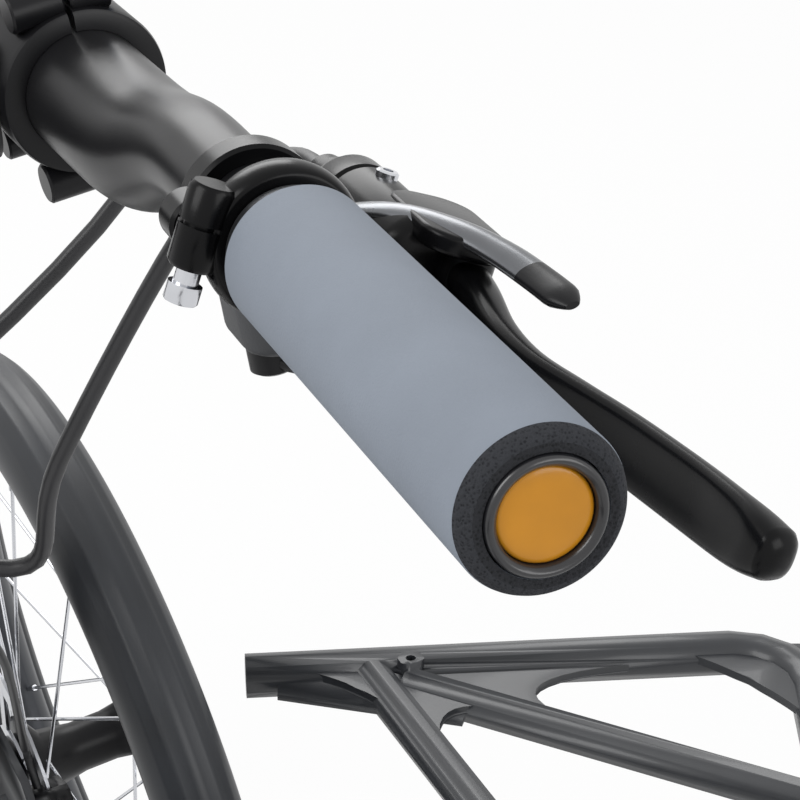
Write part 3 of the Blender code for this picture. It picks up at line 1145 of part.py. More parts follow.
def make_saddle():
    """A saddle with its rails, the post's head that clamps them, and the post."""
    top = CRANK_CENTRE + STEER_AXIS * ((SADDLE_HEIGHT - SADDLE_STACK - CRANK_CENTRE_HEIGHT) / STEER_AXIS.z)
    stations = [(-0.128, 0.030, 0.010, -0.012), (-0.120, 0.062, 0.017, -0.010), (-0.090, 0.080, 0.024, -0.006),
                (-0.045, 0.076, 0.026, -0.006), (0.000, 0.050, 0.024, -0.010), (0.050, 0.030, 0.021, -0.012),
                (0.100, 0.022, 0.018, -0.012), (0.136, 0.018, 0.014, -0.013), (0.146, 0.010, 0.008, -0.016)]
    sections = []
    for x, wide, thick, rise in stations:
        centre = top + Vector((x, 0.0, SADDLE_STACK - 0.018 + rise))
        section = []
        for step in range(16):
            turn = 2 * math.pi * step / 16
            drop = thick if math.sin(turn) > 0 else thick * 0.75
            wing = -0.020 * (wide / 0.08) * math.cos(turn) ** 2
            section.append(centre + Vector((0.0, wide * math.cos(turn), drop * math.sin(turn) + wing)))
        sections.append(section)
    saddle = loft("saddle", sections, SADDLE_SKIN)
    rails = []
    for side in (-1, 1):
        route = [top + Vector((x, side * y, z)) for x, y, z in (
            (-0.100, 0.034, SADDLE_STACK - 0.030), (-0.080, 0.030, 0.012), (-0.055, 0.022, 0.0),
            (0.040, 0.022, 0.0), (0.078, 0.016, 0.010), (0.110, 0.008, SADDLE_STACK - 0.032))]
        rails.append(sweep("rail", route, SADDLE_RAIL_RADIUS, STEEL, 6))
    fuse(saddle, *rails)
    low = CRANK_CENTRE + STEER_AXIS * SEATPOST_BOTTOM
    post = rod("seatpost", low, top, SEATPOST_DIAMETER / 2, BLACK_ALLOY, 16)
    head = plate("head", rounded_box((0, 0), (0.040, 0.060), 0.006, 1), 0.018, Matrix.Translation(top), BLACK_ALLOY)
    fuse(post, head)
    cut(post, *[rod("groove", top + Vector((-0.05, side * 0.022, 0)), top + Vector((0.035, side * 0.022, 0)),
                    SADDLE_RAIL_RADIUS + RUNNING_GAP, BLACK_ALLOY, 8) for side in (-1, 1)])
    return saddle, post


def make_seat_clamp():
    """The clamp round the seat tube's top, with its bolt lug."""
    middle = CRANK_CENTRE + STEER_AXIS * (SEAT_TUBE_LENGTH - 0.009)
    clamp = ring("seat_clamp", middle, STEER_AXIS, SEAT_TUBE_DIAMETER / 2 + TOUCH_GAP, SEAT_TUBE_DIAMETER / 2 + 0.0048,
                 0.014, BLACK_ALLOY, 20)
    back = -LEFT.cross(STEER_AXIS)
    lug_at = middle + back * (SEAT_TUBE_DIAMETER / 2 + 0.0065)
    lug = rod("lug", lug_at - LEFT * 0.010, lug_at + LEFT * 0.010, 0.0045, BLACK_ALLOY, 10)
    return fuse(clamp, lug)


# Brakes and hoses

def caliper_offset(angle, outward=0.0, along=0.0):
    """From an axle to its brake calliper's middle, at an angle above forward, or to a place beside it."""
    radial = Vector((math.cos(angle), 0.0, math.sin(angle)))
    return radial * (ROTOR_DIAMETER / 2 - 0.007 + outward) + LEFT.cross(radial) * along


def make_caliper(name, axle, rotor_y, angle):
    """A block over the disc's edge, slotted for the disc."""
    centre = axle + caliper_offset(angle)
    radial = Vector((math.cos(angle), 0.0, math.sin(angle)))
    tangent = LEFT.cross(radial)
    place = basis(centre + LEFT * rotor_y, radial, tangent, radial.cross(tangent))
    block = plate(name, rounded_box((0, 0), (CALIPER_LENGTH, CALIPER_HEIGHT), 0.006, 2), CALIPER_WIDTH, place,
                  BLACK_ALLOY)
    slot = rod("slot", axle + LEFT * (rotor_y - ROTOR_THICKNESS / 2 - 0.0008),
               axle + LEFT * (rotor_y + ROTOR_THICKNESS / 2 + 0.0008), ROTOR_DIAMETER / 2 + 0.002, BLACK_ALLOY, 36)
    return cut(block, slot)


def make_hose(name, points):
    """A thin hose along a smooth curve through points."""
    return sweep(name, smooth_path(points, 0.018), HOSE_DIAMETER / 2, HOSE_BLACK, 8)


def make_axles():
    """The front stub axle and the rear axle with its nuts."""
    radius = AXLE_DIAMETER / 2
    front = revolve("front_axle", [(-0.0520, 0.0), (-0.0520, 0.0080), (-0.0505, 0.0095), (-0.0460, 0.0095),
                                   (-0.0460, radius), (0.0835, radius), (0.0835, 0.0)], FRONT_AXLE, LEFT, STEEL, 16)
    nut_in = DROPOUT_Y + DROPOUT_THICKNESS / 2 + TOUCH_GAP
    rear = revolve("rear_axle", [(-nut_in - 0.010, 0.0), (-nut_in - 0.010, radius), (-nut_in - 0.008, 0.0090),
                                 (-nut_in, 0.0090), (-nut_in, radius), (nut_in, radius), (nut_in, 0.0090),
                                 (nut_in + 0.008, 0.0090), (nut_in + 0.010, radius), (nut_in + 0.010, 0.0)],
                   REAR_AXLE, LEFT, STEEL, 14)
    return front, rear


# Putting it together

def build():
    for thing in list(bpy.data.objects):
        bpy.data.objects.remove(thing, do_unlink=True)
    column_axis_point = SWIVEL_POINT
    steer_column = turn_about(column_axis_point, STEER_AXIS, REST_STEER)
    steer_fork = turn_about(FORK_AXIS_POINT, STEER_AXIS, REST_STEER)
    twist = turn_about(SWIVEL_POINT, UP, REST_TWIST)
    bar_centre = SWIVEL_POINT + FORWARD * STEM_LENGTH + UP * STEM_RISE
    to_bar = steer_column @ twist @ Matrix.Translation(bar_centre)

    # Frame and what is fixed to it
    make_main_frame()
    make_platform()
    make_stand()
    make_headset("column_cup_low", on_axis(column_axis_point, COLUMN_HEAD_BOTTOM_HEIGHT), True)
    make_headset("column_cup_high", on_axis(column_axis_point, COLUMN_HEAD_TOP_HEIGHT), False)
    fork_low = on_axis(FORK_AXIS_POINT, FORK_HEAD_BOTTOM_HEIGHT)
    make_headset("fork_cup_low", fork_low, True)
    make_headset("fork_cup_high", fork_low + STEER_AXIS * FORK_HEAD_LENGTH, False)
    make_motor()
    make_battery()
    make_seat_clamp()
    make_belt()
    make_caliper("rear_caliper", REAR_AXLE, REAR_ROTOR_Y, REAR_CALIPER_ANGLE)
    rear_port = REAR_AXLE + LEFT * REAR_ROTOR_Y
    rear_out = CALIPER_LENGTH / 2 + 2 * TOUCH_GAP
    make_hose("rear_brake_hose", [rear_port + caliper_offset(REAR_CALIPER_ANGLE, rear_out),
                                  rear_port + caliper_offset(REAR_CALIPER_ANGLE, rear_out + 0.030),
                                  at(0.200, 0.050, 0.322),
                                  at(0.270, 0.042, 0.345), at(0.345, 0.024, 0.372), at(0.4020, 0.0150, 0.388)])

    # Saddle
    make_saddle()

    # Wheels
    front_axle, rear_axle = make_axles()
    front = make_wheel("front", FRONT_AXLE, front_hub_profile(), FRONT_SPOKE_WIDTH, HUB_FLANGE_RADIUS, FRONT_ROTOR_Y)
    rear = make_wheel("rear", REAR_AXLE, rear_hub_profile(), REAR_SPOKE_WIDTH, REAR_FLANGE_RADIUS, REAR_ROTOR_Y)
    front_pulley, rear_pulley = make_pulleys()
    crankset = make_crankset()
    for side, word in ((-1, "right"), (1, "left")):
        make_pedal(side, word)
    set_origin(REAR_AXLE, rear_axle, rear_pulley, *rear)
    set_origin(CRANK_CENTRE, front_pulley)

    # Fork group, built straight ahead and then turned
    fork = make_fork()
    caliper = make_caliper("front_caliper", FRONT_AXLE, FRONT_ROTOR_Y, FRONT_CALIPER_ANGLE)
    front_port = FRONT_AXLE + LEFT * (FRONT_ROTOR_Y + HOSE_DIAMETER / 2 + 0.003)
    front_out = CALIPER_HEIGHT / 2 + 3 * TOUCH_GAP
    hose_start = front_port + caliper_offset(FRONT_CALIPER_ANGLE, 0.002, front_out)
    hose_lead = front_port + caliper_offset(FRONT_CALIPER_ANGLE, 0.004, front_out + 0.030)
    crown = on_axis(FORK_AXIS_POINT, FORK_CROWN_HEIGHT)
    hose = make_hose("front_brake_hose", [
        hose_start, hose_lead, FRONT_AXLE + Vector((-0.112, 0.062, 0.150)),
        crown + Vector((-0.0045, -0.004, -0.0640))])
    place_on(steer_fork, fork, caliper, hose, front_axle, *front)
    set_origin(steer_fork @ FRONT_AXLE, front_axle, *front)
    set_origin(FORK_AXIS_POINT, fork)

    # Column group and the tie rod
    column = make_column()
    arm = make_arm("column_arm", on_axis(column_axis_point, COLUMN_ARM_HEIGHT))
    cut(arm, rod("bore", on_axis(column_axis_point, COLUMN_ARM_HEIGHT - 0.03),
                 on_axis(column_axis_point, COLUMN_ARM_HEIGHT + 0.03), STEERER_DIAMETER / 2 + TOUCH_GAP, BLACK_ALLOY, 20))
    place_on(steer_column, column, arm)
    set_origin(column_axis_point, column, arm)
    make_tie_rod()

    # Handlebar group, built in the bar's frame and then swung
    bar_things = [make_handlebar()] + make_stem()
    levers = []
    for side, word in ((-1, "right"), (1, "left")):
        bar_things += make_grip(side, word)
        bar_things += make_brake_perch(side, word)
        levers.append((make_brake_lever(side, word), lever_pivot(side)))
    body, thumb, release = make_shifter()
    bar_things.append(body)
    place_on(to_bar, *bar_things)
    for lever, pivot in levers + [thumb, release]:
        place_on(to_bar, lever)
        set_origin(to_bar @ pivot, lever)
    set_origin(SWIVEL_POINT, *bar_things)

    # Brake hoses from the bar to the column
    port = on_axis(column_axis_point, HOSE_PORT_HEIGHT)
    reach = STEERER_DIAMETER / 2 + HOSE_PORT_GAP
    for side, word in ((-1, "right"), (1, "left")):
        axis, ahead, above = control_axes(side, LEVER_TILT)
        start = to_bar @ (control_point(side, MASTER_IN + 0.062 + TOUCH_GAP, MASTER_AHEAD, 0, LEVER_TILT))
        inward = to_bar.to_3x3() @ axis
        finish = port + LEFT * side * reach
        if side < 0:
            middle = [start + inward * 0.030 - UP * 0.006, start + inward * 0.062 + Vector((0.0, 0.012, -0.030)),
                      start.lerp(finish, 0.62) + Vector((0.018, -0.006, -0.022)),
                      finish + Vector((0.002, -0.042, -0.008))]
        else:
            middle = [start + inward * 0.030 - UP * 0.006, start + inward * 0.075 - UP * 0.040,
                      start.lerp(finish, 0.72) - UP * 0.030, finish + Vector((0.004, 0.040, -0.006))]
        make_hose("brake_hose_" + word, [start] + middle + [finish])


build()
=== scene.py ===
"""The looks of an electric cargo bike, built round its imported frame.

The camera looks forward and down over the right grip, at the handlebar, the front wheel and the platform.
Pieces of the handlebar are built in the bar's own frame and swung into place with it.
"""
import json
import math

import bmesh
import bpy
from mathutils import Matrix, Vector


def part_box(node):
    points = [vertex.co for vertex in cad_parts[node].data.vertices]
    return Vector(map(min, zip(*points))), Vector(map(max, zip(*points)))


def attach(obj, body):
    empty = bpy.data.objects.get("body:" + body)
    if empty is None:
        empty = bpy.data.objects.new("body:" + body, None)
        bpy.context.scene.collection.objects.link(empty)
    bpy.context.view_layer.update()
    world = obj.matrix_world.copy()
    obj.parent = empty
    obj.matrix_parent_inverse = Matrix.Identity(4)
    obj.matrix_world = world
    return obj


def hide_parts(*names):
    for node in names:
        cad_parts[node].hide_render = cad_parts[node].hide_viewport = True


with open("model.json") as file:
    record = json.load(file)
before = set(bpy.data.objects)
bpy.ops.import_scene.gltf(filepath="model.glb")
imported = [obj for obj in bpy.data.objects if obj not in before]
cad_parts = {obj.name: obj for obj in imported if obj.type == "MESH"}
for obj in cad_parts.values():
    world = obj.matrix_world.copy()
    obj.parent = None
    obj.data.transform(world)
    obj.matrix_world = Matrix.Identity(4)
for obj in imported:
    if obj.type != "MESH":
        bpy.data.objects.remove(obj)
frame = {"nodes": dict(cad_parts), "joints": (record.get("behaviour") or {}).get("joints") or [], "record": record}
nodes = frame["nodes"]
joints = {joint["name"]: joint for joint in frame["joints"]}
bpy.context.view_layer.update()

UP = Vector((0.0, 0.0, 1.0))
LEFT = Vector((0.0, 1.0, 0.0))
FORWARD = Vector((1.0, 0.0, 0.0))

# Steering, as it stands in the photograph
REST_STEER = math.radians(26.7)
REST_TWIST = math.radians(-90.0)
STEM_LENGTH = 0.088
STEM_RISE = 0.046
STEER_AXIS = Vector(joints["column_turn"]["axis"]).normalized()
SWIVEL_POINT = Vector(joints["bar_swivel"]["pos_m"])

# Gaps between pieces that touch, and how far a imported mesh's flat sides lie inside its round shape
TOUCH_GAP = 0.0003
CLAMP_GAP = 0.0001
GRIP_FLAT = 0.0002
TYRE_FLAT = 0.0012

# Handlebar and stem, with the bike's right side first
SIDES = ((-1, "right"), (1, "left"))
BAR_DIAMETER = 0.0222
BAR_CENTRE_DIAMETER = 0.0318
BAR_STRAIGHT = 0.19
BAR_BEND = 0.07
BEND_REACH = 0.97
BEND_PULL = 0.45
BAR_CENTRE_HALF = 0.051
BAR_RISE = 0.016
BAR_BACKSWEEP = math.radians(4.6)
BAR_UPSWEEP = math.radians(3.6)
CLAMP_BORE = BAR_DIAMETER / 2 + CLAMP_GAP
STEM_CLAMP_HALF = 0.023
STEM_CLAMP_WALL = 0.0055
STEM_BOLT_INSET = 0.0065
STEM_BOLT_RISE = 0.023
STEM_BOLT_AHEAD = 0.0118
STEM_BOLT_RADIUS = 0.0038
STEM_BOLT_HEIGHT = 0.0032
STEM_LUG_RADIUS = 0.0052
STEM_LUG_CUT = 0.0006

# Grips and plugs. A row of an edge is the distance from the end and the depth under the side.
GRIP_DIAMETER = 0.032
GRIP_LENGTH = 0.13
GRIP_CUT_EDGE = ((0.0, 0.0027), (0.0001, 0.0022), (0.0005, 0.0016), (0.0011, 0.0011), (0.0019, 0.0006),
                 (0.0028, 0.0002), (0.0035, 0.0))
GRIP_INNER_EDGE = ((0.0015, 0.0), (0.0005, 0.0004), (0.0, 0.0012))
PLUG_DIAMETER = 0.0222
PLUG_DEPTH = 0.006
PLUG_LIP = ((-0.0003, 0.0), (-0.0007, 0.0002), (-0.001, 0.0006), (-0.0011, 0.001), (-0.0009, 0.0014),
            (-0.0005, 0.0018))
PLUG_RECESS = (-0.0002, 0.0028)
DISC_DIAMETER = 0.0176
DISC_GAP = 0.0002
DISC_BACK = 0.0025
DISC_CROWN = 0.0009
DISC_SHOULDER = 0.12
DISC_ROUNDNESS = 0.55

# Brake levers, measured from the grip's outer end in, ahead and above
LEVER_TILT = math.radians(29.0)
LEVER_PIVOT_IN = 0.146
LEVER_PIVOT_AHEAD = 0.044
LEVER_FULLNESS = 0.75
LEVER_DISH = 0.45
DISH_HEIGHT = 0.8
DISH_START = 0.11
DISH_START_RUN = 0.03
DISH_END = 0.024
DISH_END_RUN = 0.02
# The rings of the blade's round tip: share of the last ring, and distance past it
LEVER_TIP = ((0.85, 0.0012), (0.6, 0.0021), (0.3, 0.0026))
LEVER_HUB_THICKNESS = 0.009
LEVER_HUB_RADIUS = 0.0062
LEVER_HUB_CUT = 0.0006
LEVER_PIN_RADIUS = 0.0022

# Brake clamps, measured the same way
LOCK_RING_WIDTH = 0.005
LOCK_RING_RADIUS = 0.0138
COLLAR_SHIFT = 0.0062
COLLAR_WIDTH = 0.0092
COLLAR_RADIUS = 0.015
COLLAR_CROWN = 0.002
NECK_RADIUS = 0.0052
MASTER_IN = 0.146
MASTER_AHEAD = 0.034
CHEEK_SIZE = (0.034, 0.02)
CHEEK_CORNER = 0.008
CHEEK_THICKNESS = 0.0046
CHEEK_EDGE = 0.0012
CHEEK_IN = 0.006
CHEEK_LEVEL = 0.0074
WEB_SIZE = (0.012, 0.018)
WEB_CORNER = 0.003
WEB_THICKNESS = 0.014
WEB_EDGE = 0.001
WEB_IN = 0.017
SLAB_BACK = 0.004
CLAMP_LUG_BEHIND = -0.0172
CLAMP_BOLT_DROP = 0.017
BLEED_SHIFT = 0.03
BLEED_ABOVE = 0.0094
HINGE_SHIFT = 0.013
HINGE_BEHIND = -0.015
HINGE_ABOVE = -0.003
BRASS_STANDOUT = 0.001

# Shifter
SHIFTER_IN = 0.162
SHIFTER_DROP = -0.0265
SHIFTER_CLAMP_HALF = 0.004
SHIFTER_CLAMP_RADIUS = 0.015
SHIFTER_CLAMP_CUT = 0.0008
SHIFTER_PIVOT = (0.012, 0.001, SHIFTER_DROP)
POD_CENTRE = (0.0, 0.003)
POD_THICKNESS = 0.017
POD_SIZE = (0.03, 0.021)
POD_CORNER = 0.0095
POD_EDGE = 0.003
THUMB_BLADE_DROP = 0.005
THUMB_BLADE_RADIUS = 0.003
THUMB_BLADE_GAIN = 0.0016
RELEASE_ROOT = (0.014, 0.012)
RELEASE_LIFT = 0.001
RELEASE_RADIUS = 0.0022
RELEASE_GAIN = 0.0018
RELEASE_GAIN_RATE = 1.3
RELEASE_FLATNESS = 0.5
RELEASE_TIP_SHARE = 0.82
RELEASE_END_START = 0.94
RELEASE_END_TAPER = 0.6

# Hoses and saddle
HOSE_DIAMETER = 0.005
SADDLE_BACK = 0.128
SADDLE_STACK = 0.058
SADDLE_RAIL_DROP = 0.06
SADDLE_SHELL_DROP = 0.018
SADDLE_RAIL_RADIUS = 0.0034
SADDLE_HALF_WIDTH = 0.08
SADDLE_UNDERSIDE = 0.72
SADDLE_GROOVE_DEPTH = 0.0045
SADDLE_GROOVE_SHARE = 0.13
SADDLE_GROOVE_FADE = 0.05
SADDLE_WING_DROP = 0.02

# Platform: the tubes whose corners the plates fill, and the nodes where they meet
PLATFORM_TUBE_RADIUS = 0.011
PLATFORM_SWEEP = 0.024
PLATFORM_CROSS = 0.253103
PLATFORM_SLANT_END = 0.3595
PLATFORM_NODES = ((-1, "right", 0.1425), (1, "left", 0.2005))
STRUT_START_BACK = 0.01
STRUT_START_OUT = 0.02
STRUT_END_BACK = 0.127
PLATE_THICKNESS = 0.005
PLATE_EDGE = 0.0012
# Each plate's reach along its two tubes, and how full its hollow edge is
PLATE_SIZES = {
    "rail": (0.125, 0.115, 0.12), "strut": (0.1, 0.11, 0.12), "inner": (0.055, 0.075, 0.12),
    "corner": (0.085, 0.085, 0.35), "cross": (0.07, 0.07, 0.12),
}

# Wheels
TYRE_RADIUS = 0.2505
TYRE_WIDTH = 0.047
TYRE_BEAD_HEIGHT = 0.0048
TYRE_ARC_STEPS = 36
SHOULDER_ANGLE = math.radians(42)
SHOULDER_DEPTH = 0.0003
GROOVE_STEPS = (13, 16, 20, 23)
GROOVE_DEPTH = 0.0012
RIM_DEPTH = 0.02
RIM_WIDTH = 0.03
RIM_HOOK = 0.0042
RIM_EDGE = 0.0036
BEAD_HALF = 0.0122
BEAD_RADIUS = 0.2037
SPOKE_COUNT = 24
SPOKE_LEAD = math.radians(58.0)
SPOKE_STAGGER = 0.0027
SPOKE_RADIUS = 0.0011
SPOKE_HEAD_OUT = 0.0014
SPOKE_RIM_OFFSET = 0.004
SPOKE_SIDES = 10
NIPPLE_RADIUS = 0.002
NIPPLE_LENGTH = 0.016
# Each wheel's name, joint, width between flanges and flange radius
WHEELS = (("front", "front_wheel_spin", 0.075, 0.029), ("rear", "rear_wheel_spin", 0.068, 0.046))

# The broad patches of every finish, and how far its roughness strays
PATCH_SCALE = 35.0
WEAR = 0.06

# Camera, floor and light
CAMERA_PLACE = (-0.6916, -0.1585, 1.289)
CAMERA_PITCH = math.radians(62.0)
CAMERA_HEADING = math.radians(-90.0)
CAMERA_LENS = 137.25
FLOOR_HALF = 6.0
FLOOR_TONE = (0.8, 0.8, 0.8, 1.0)
FLOOR_WHITE_SHARE = 0.92
WHITE = (1.0, 1.0, 1.0, 1.0)
STUDIO_STRENGTH = 0.55
# Each lamp's place, target, size and power
LAMPS = {
    "key": ((-0.9, 1.7, 2.6), (0.1, 0.0, 0.7), (1.6, 1.6), 42.0),
    "fill": ((-1.6, -2.1, 1.9), (0.1, 0.0, 0.6), (2.0, 1.4), 26.0),
    "back": ((2.6, 0.5, 2.2), (0.3, 0.0, 0.6), (1.8, 1.2), 30.0),
}


# Materials

def set_inputs(node, values):
    """Give a shader node's inputs their values, by name."""
    for name, value in values.items():
        node.inputs[name].default_value = value


def new_material(name):
    """A new node material with its nodes, its links and its shader."""
    made = bpy.data.materials.new(name)
    made.use_nodes = True
    shader = made.node_tree.nodes["Principled BSDF"]
    return made, made.node_tree.nodes, made.node_tree.links, shader


def add_noise(tree, links, scale, detail, roughness=0.5):
    """A noise texture in the object's own coordinates, as the socket of its value."""
    place = tree.new("ShaderNodeTexCoord")
    noise = tree.new("ShaderNodeTexNoise")
    set_inputs(noise, {"Scale": scale, "Detail": detail, "Roughness": roughness})
    links.new(place.outputs["Object"], noise.inputs["Vector"])
    return noise.outputs["Fac"]


def add_tint(tree, links, shader, value, ends, colors):
    """Colour a shader by a value that runs between two ends of a ramp."""
    tint = tree.new("ShaderNodeValToRGB")
    for index in (0, 1):
        tint.color_ramp.elements[index].position = ends[index]
        tint.color_ramp.elements[index].color = (*colors[index], 1.0)
    links.new(value, tint.inputs["Fac"])
    links.new(tint.outputs["Color"], shader.inputs["Base Color"])


def add_bump(tree, links, shader, value, strength, distance):
    """Raise a shader's surface by a value."""
    raised = tree.new("ShaderNodeBump")
    set_inputs(raised, {"Strength": strength, "Distance": distance})
    links.new(value, raised.inputs["Height"])
    links.new(raised.outputs["Normal"], shader.inputs["Normal"])


def surface(name, color, roughness, metallic=0.0, spread=0.15, grain=900.0, bump=0.05, bump_distance=0.0002,
            coat=0.0, specular=0.5):
    """A finish with fine grain in its bump, and broad patches in its colour and gloss."""
    made, tree, links, shader = new_material(name)
    patches = add_noise(tree, links, PATCH_SCALE, 5.0)
    darker = [channel * (1.0 - spread) for channel in color]
    lighter = [min(1.0, channel * (1.0 + spread)) for channel in color]
    add_tint(tree, links, shader, patches, (0.3, 0.7), (darker, lighter))
    gloss = tree.new("ShaderNodeMapRange")
    set_inputs(gloss, {"To Min": max(0.02, roughness - WEAR), "To Max": min(1.0, roughness + WEAR)})
    links.new(patches, gloss.inputs["Value"])
    links.new(gloss.outputs["Result"], shader.inputs["Roughness"])
    add_bump(tree, links, shader, add_noise(tree, links, grain, 6.0), bump, bump_distance)
    set_inputs(shader, {"Metallic": metallic, "Coat Weight": coat, "Coat Roughness": 0.08,
                        "Specular IOR Level": specular})
    return made


def granular(name, light, dark, scale, strength, roughness, distance):
    """Cut foam: small cells, their sunken pores darkened with painted shade between lighter crumbs."""
    made, tree, links, shader = new_material(name)
    place = tree.new("ShaderNodeTexCoord")
    cells = tree.new("ShaderNodeTexVoronoi")
    set_inputs(cells, {"Scale": scale})
    links.new(place.outputs["Object"], cells.inputs["Vector"])
    height = tree.new("ShaderNodeMath")
    height.operation = 'ADD'
    links.new(cells.outputs["Distance"], height.inputs[0])
    links.new(add_noise(tree, links, scale * 1.7, 8.0, 0.7), height.inputs[1])
    # The colour follows the bump's height, so the low pores carry painted shade and the raised crumbs stay
    # lighter.
    add_tint(tree, links, shader, height.outputs["Value"], (0.55, 1.0), (dark, light))
    add_bump(tree, links, shader, height.outputs["Value"], strength, distance)
    set_inputs(shader, {"Roughness": roughness, "Specular IOR Level": 0.25})
    return made


FRAME_PAINT = surface("frame_paint", (0.022, 0.024, 0.028), 0.38, spread=0.1, grain=1400.0, bump=0.12,
                      coat=0.15)
BLACK_ALLOY = surface("black_alloy", (0.006, 0.006, 0.007), 0.34, 0.0, 0.12, 1600.0, 0.06, specular=0.22)
SATIN_ALLOY = surface("satin_alloy", (0.06, 0.063, 0.07), 0.4, 0.7, 0.1, 2200.0, 0.1)
LEVER_BLACK = surface("lever_black", (0.004, 0.004, 0.0045), 0.26, 0.0, 0.1, 1500.0, 0.05, specular=0.14)
STEEL = surface("bright_steel", (0.62, 0.63, 0.66), 0.22, 1.0, 0.06, 2600.0, 0.05)
DISC_STEEL = surface("disc_steel", (0.5, 0.51, 0.54), 0.3, 1.0, 0.08, 700.0, 0.1)
TYRE_RUBBER = surface("tyre_rubber", (0.012, 0.014, 0.018), 0.42, spread=0.18, grain=1100.0, bump=0.18)
GRIP_SIDE = surface("grip_side", (0.228, 0.256, 0.3), 0.78, spread=0.06, grain=1800.0, bump=0.35,
                    bump_distance=0.0003, specular=0.25)
# Each cut foam's second, darker colour is painted shade in its pores.
GRIP_CUT = granular("grip_cut", (0.038, 0.04, 0.046), (0.012, 0.013, 0.016), 1500.0, 0.8, 0.9, 0.0005)
GRIP_END = granular("grip_end", (0.026, 0.027, 0.031), (0.008, 0.009, 0.01), 1300.0, 0.8, 0.9, 0.0005)
PLUG_BLACK = surface("plug_black", (0.012, 0.012, 0.014), 0.3, spread=0.1, grain=1500.0, bump=0.05, coat=0.3)
PLUG_AMBER = surface("plug_amber", (0.58, 0.24, 0.008), 0.3, spread=0.16, grain=500.0, bump=0.03, coat=0.2,
                     specular=0.3)
SADDLE_SKIN = surface("saddle_skin", (0.016, 0.016, 0.018), 0.58, spread=0.15, grain=650.0, bump=0.5,
                      bump_distance=0.0006)
BAR_BLACK = surface("bar_black", (0.008, 0.008, 0.009), 0.34, 0.1, 0.08, 2400.0, 0.08, specular=0.3)
DARK_CHROME = surface("dark_chrome", (0.15, 0.155, 0.165), 0.26, 0.9, 0.08, 2400.0, 0.05)
LOCK_RING = surface("lock_ring", (0.12, 0.124, 0.13), 0.34, 0.9, 0.06, 2400.0, 0.08)
BRASS = surface("brass", (0.48, 0.29, 0.11), 0.35, 1.0, 0.1, 1200.0, 0.08)
BOLT_BLUE = surface("bolt_steel", (0.18, 0.23, 0.34), 0.28, 1.0, 0.08, 1500.0, 0.05)
BELT_BLACK = surface("belt_black", (0.012, 0.012, 0.013), 0.6, grain=900.0, bump=0.2)
HOSE_BLACK = surface("hose_black", (0.018, 0.018, 0.02), 0.42, grain=1400.0, bump=0.08)
CASING = surface("casing_plastic", (0.03, 0.032, 0.036), 0.5, grain=1300.0, bump=0.3, bump_distance=0.0003)

SLOT_FINISHES = {
    "frame_paint": FRAME_PAINT, "stand_paint": FRAME_PAINT, "black_alloy": BLACK_ALLOY,
    "satin_alloy": SATIN_ALLOY, "lever_black": LEVER_BLACK, "steel": STEEL, "tyre": TYRE_RUBBER,
    "grip_foam": GRIP_SIDE, "plug_black": PLUG_BLACK, "plug_amber": PLUG_AMBER, "saddle_skin": SADDLE_SKIN,
    "belt": BELT_BLACK, "hose": HOSE_BLACK, "casing": CASING,
}


# Shapes

def add_object(name, data):
    """A new object in the scene."""
    made = bpy.data.objects.new(name, data)
    bpy.context.scene.collection.objects.link(made)
    return made


def finish_mesh(name, mesh_edit, finishes, angle=35.0):
    """Turn an edited mesh into a smooth-shaded object with its faces pointing out."""
    bmesh.ops.remove_doubles(mesh_edit, verts=mesh_edit.verts, dist=1e-6)
    bmesh.ops.recalc_face_normals(mesh_edit, faces=mesh_edit.faces)
    mesh = bpy.data.meshes.new(name)
    mesh_edit.to_mesh(mesh)
    mesh_edit.free()
    mesh.shade_smooth()
    mesh.set_sharp_from_angle(angle=math.radians(angle))
    for each in finishes if isinstance(finishes, (list, tuple)) else [finishes]:
        mesh.materials.append(each)
    return add_object(name, mesh)


def frame_along(direction, hint=UP):
    """Two unit vectors square to a direction."""
    side = direction.cross(hint)
    if side.length < 1e-4:
        side = direction.cross(LEFT)
    side.normalize()
    return side, side.cross(direction).normalized()


def turns(count):
    """The angles of equal steps round a full turn."""
    return [2 * math.pi * step / count for step in range(count)]


def beside(rows, index):
    """The rows before and after one, or the row itself at an end."""
    return rows[max(index - 1, 0)], rows[min(index + 1, len(rows) - 1)]


def circle(centre, side, top, radius, count, squash=1.0):
    """A ring of points round a centre in the plane of two unit vectors, flattened along the second."""
    return [centre + (side * math.cos(turn) + top * math.sin(turn) * squash) * radius
            for turn in turns(count)]


def add_skin(edit, rings, slots=None, looped=False):
    """A skin through rings, with closed ends if it isn't looped; slots are its bands' materials."""
    made = [[edit.verts.new(point) for point in ring] for ring in rings]
    pairs = list(zip(made, made[1:]))
    if looped:
        pairs.append((made[-1], made[0]))
    slots = slots or [0] * len(pairs)
    for slot, (low, high) in zip(slots, pairs):
        for step in range(len(low)):
            after = (step + 1) % len(low)
            edit.faces.new((low[step], low[after], high[after], high[step])).material_index = slot
    if not looped:
        edit.faces.new(list(reversed(made[0]))).material_index = slots[0]
        edit.faces.new(made[-1]).material_index = slots[-1]


def skin(name, rings, finishes, angle=35.0, slots=None, looped=False):
    """An object that is one skin."""
    edit = bmesh.new()
    add_skin(edit, rings, slots, looped)
    return finish_mesh(name, edit, finishes, angle)


def revolve(name, profile, centre, axis, finishes, sides, looped=False, slots=None, angle=35.0):
    """Turn a profile of (distance along the axis, radius) round an axis."""
    axis = axis.normalized()
    side, top = frame_along(axis)
    rings = [circle(centre + axis * along, side, top, max(radius, 1e-5), sides) for along, radius in profile]
    return skin(name, rings, finishes, angle, slots, looped)


def tube(name, points, radii, finishes, sides=24, squash=1.0):
    """A closed round bar along points; radii is one radius or one for each point."""
    if isinstance(radii, float):
        radii = [radii] * len(points)
    rings = []
    for index, point in enumerate(points):
        before, after = beside(points, index)
        side, top = frame_along((after - before).normalized())
        rings.append(circle(point, side, top, radii[index], sides, squash))
    return skin(name, rings, finishes)


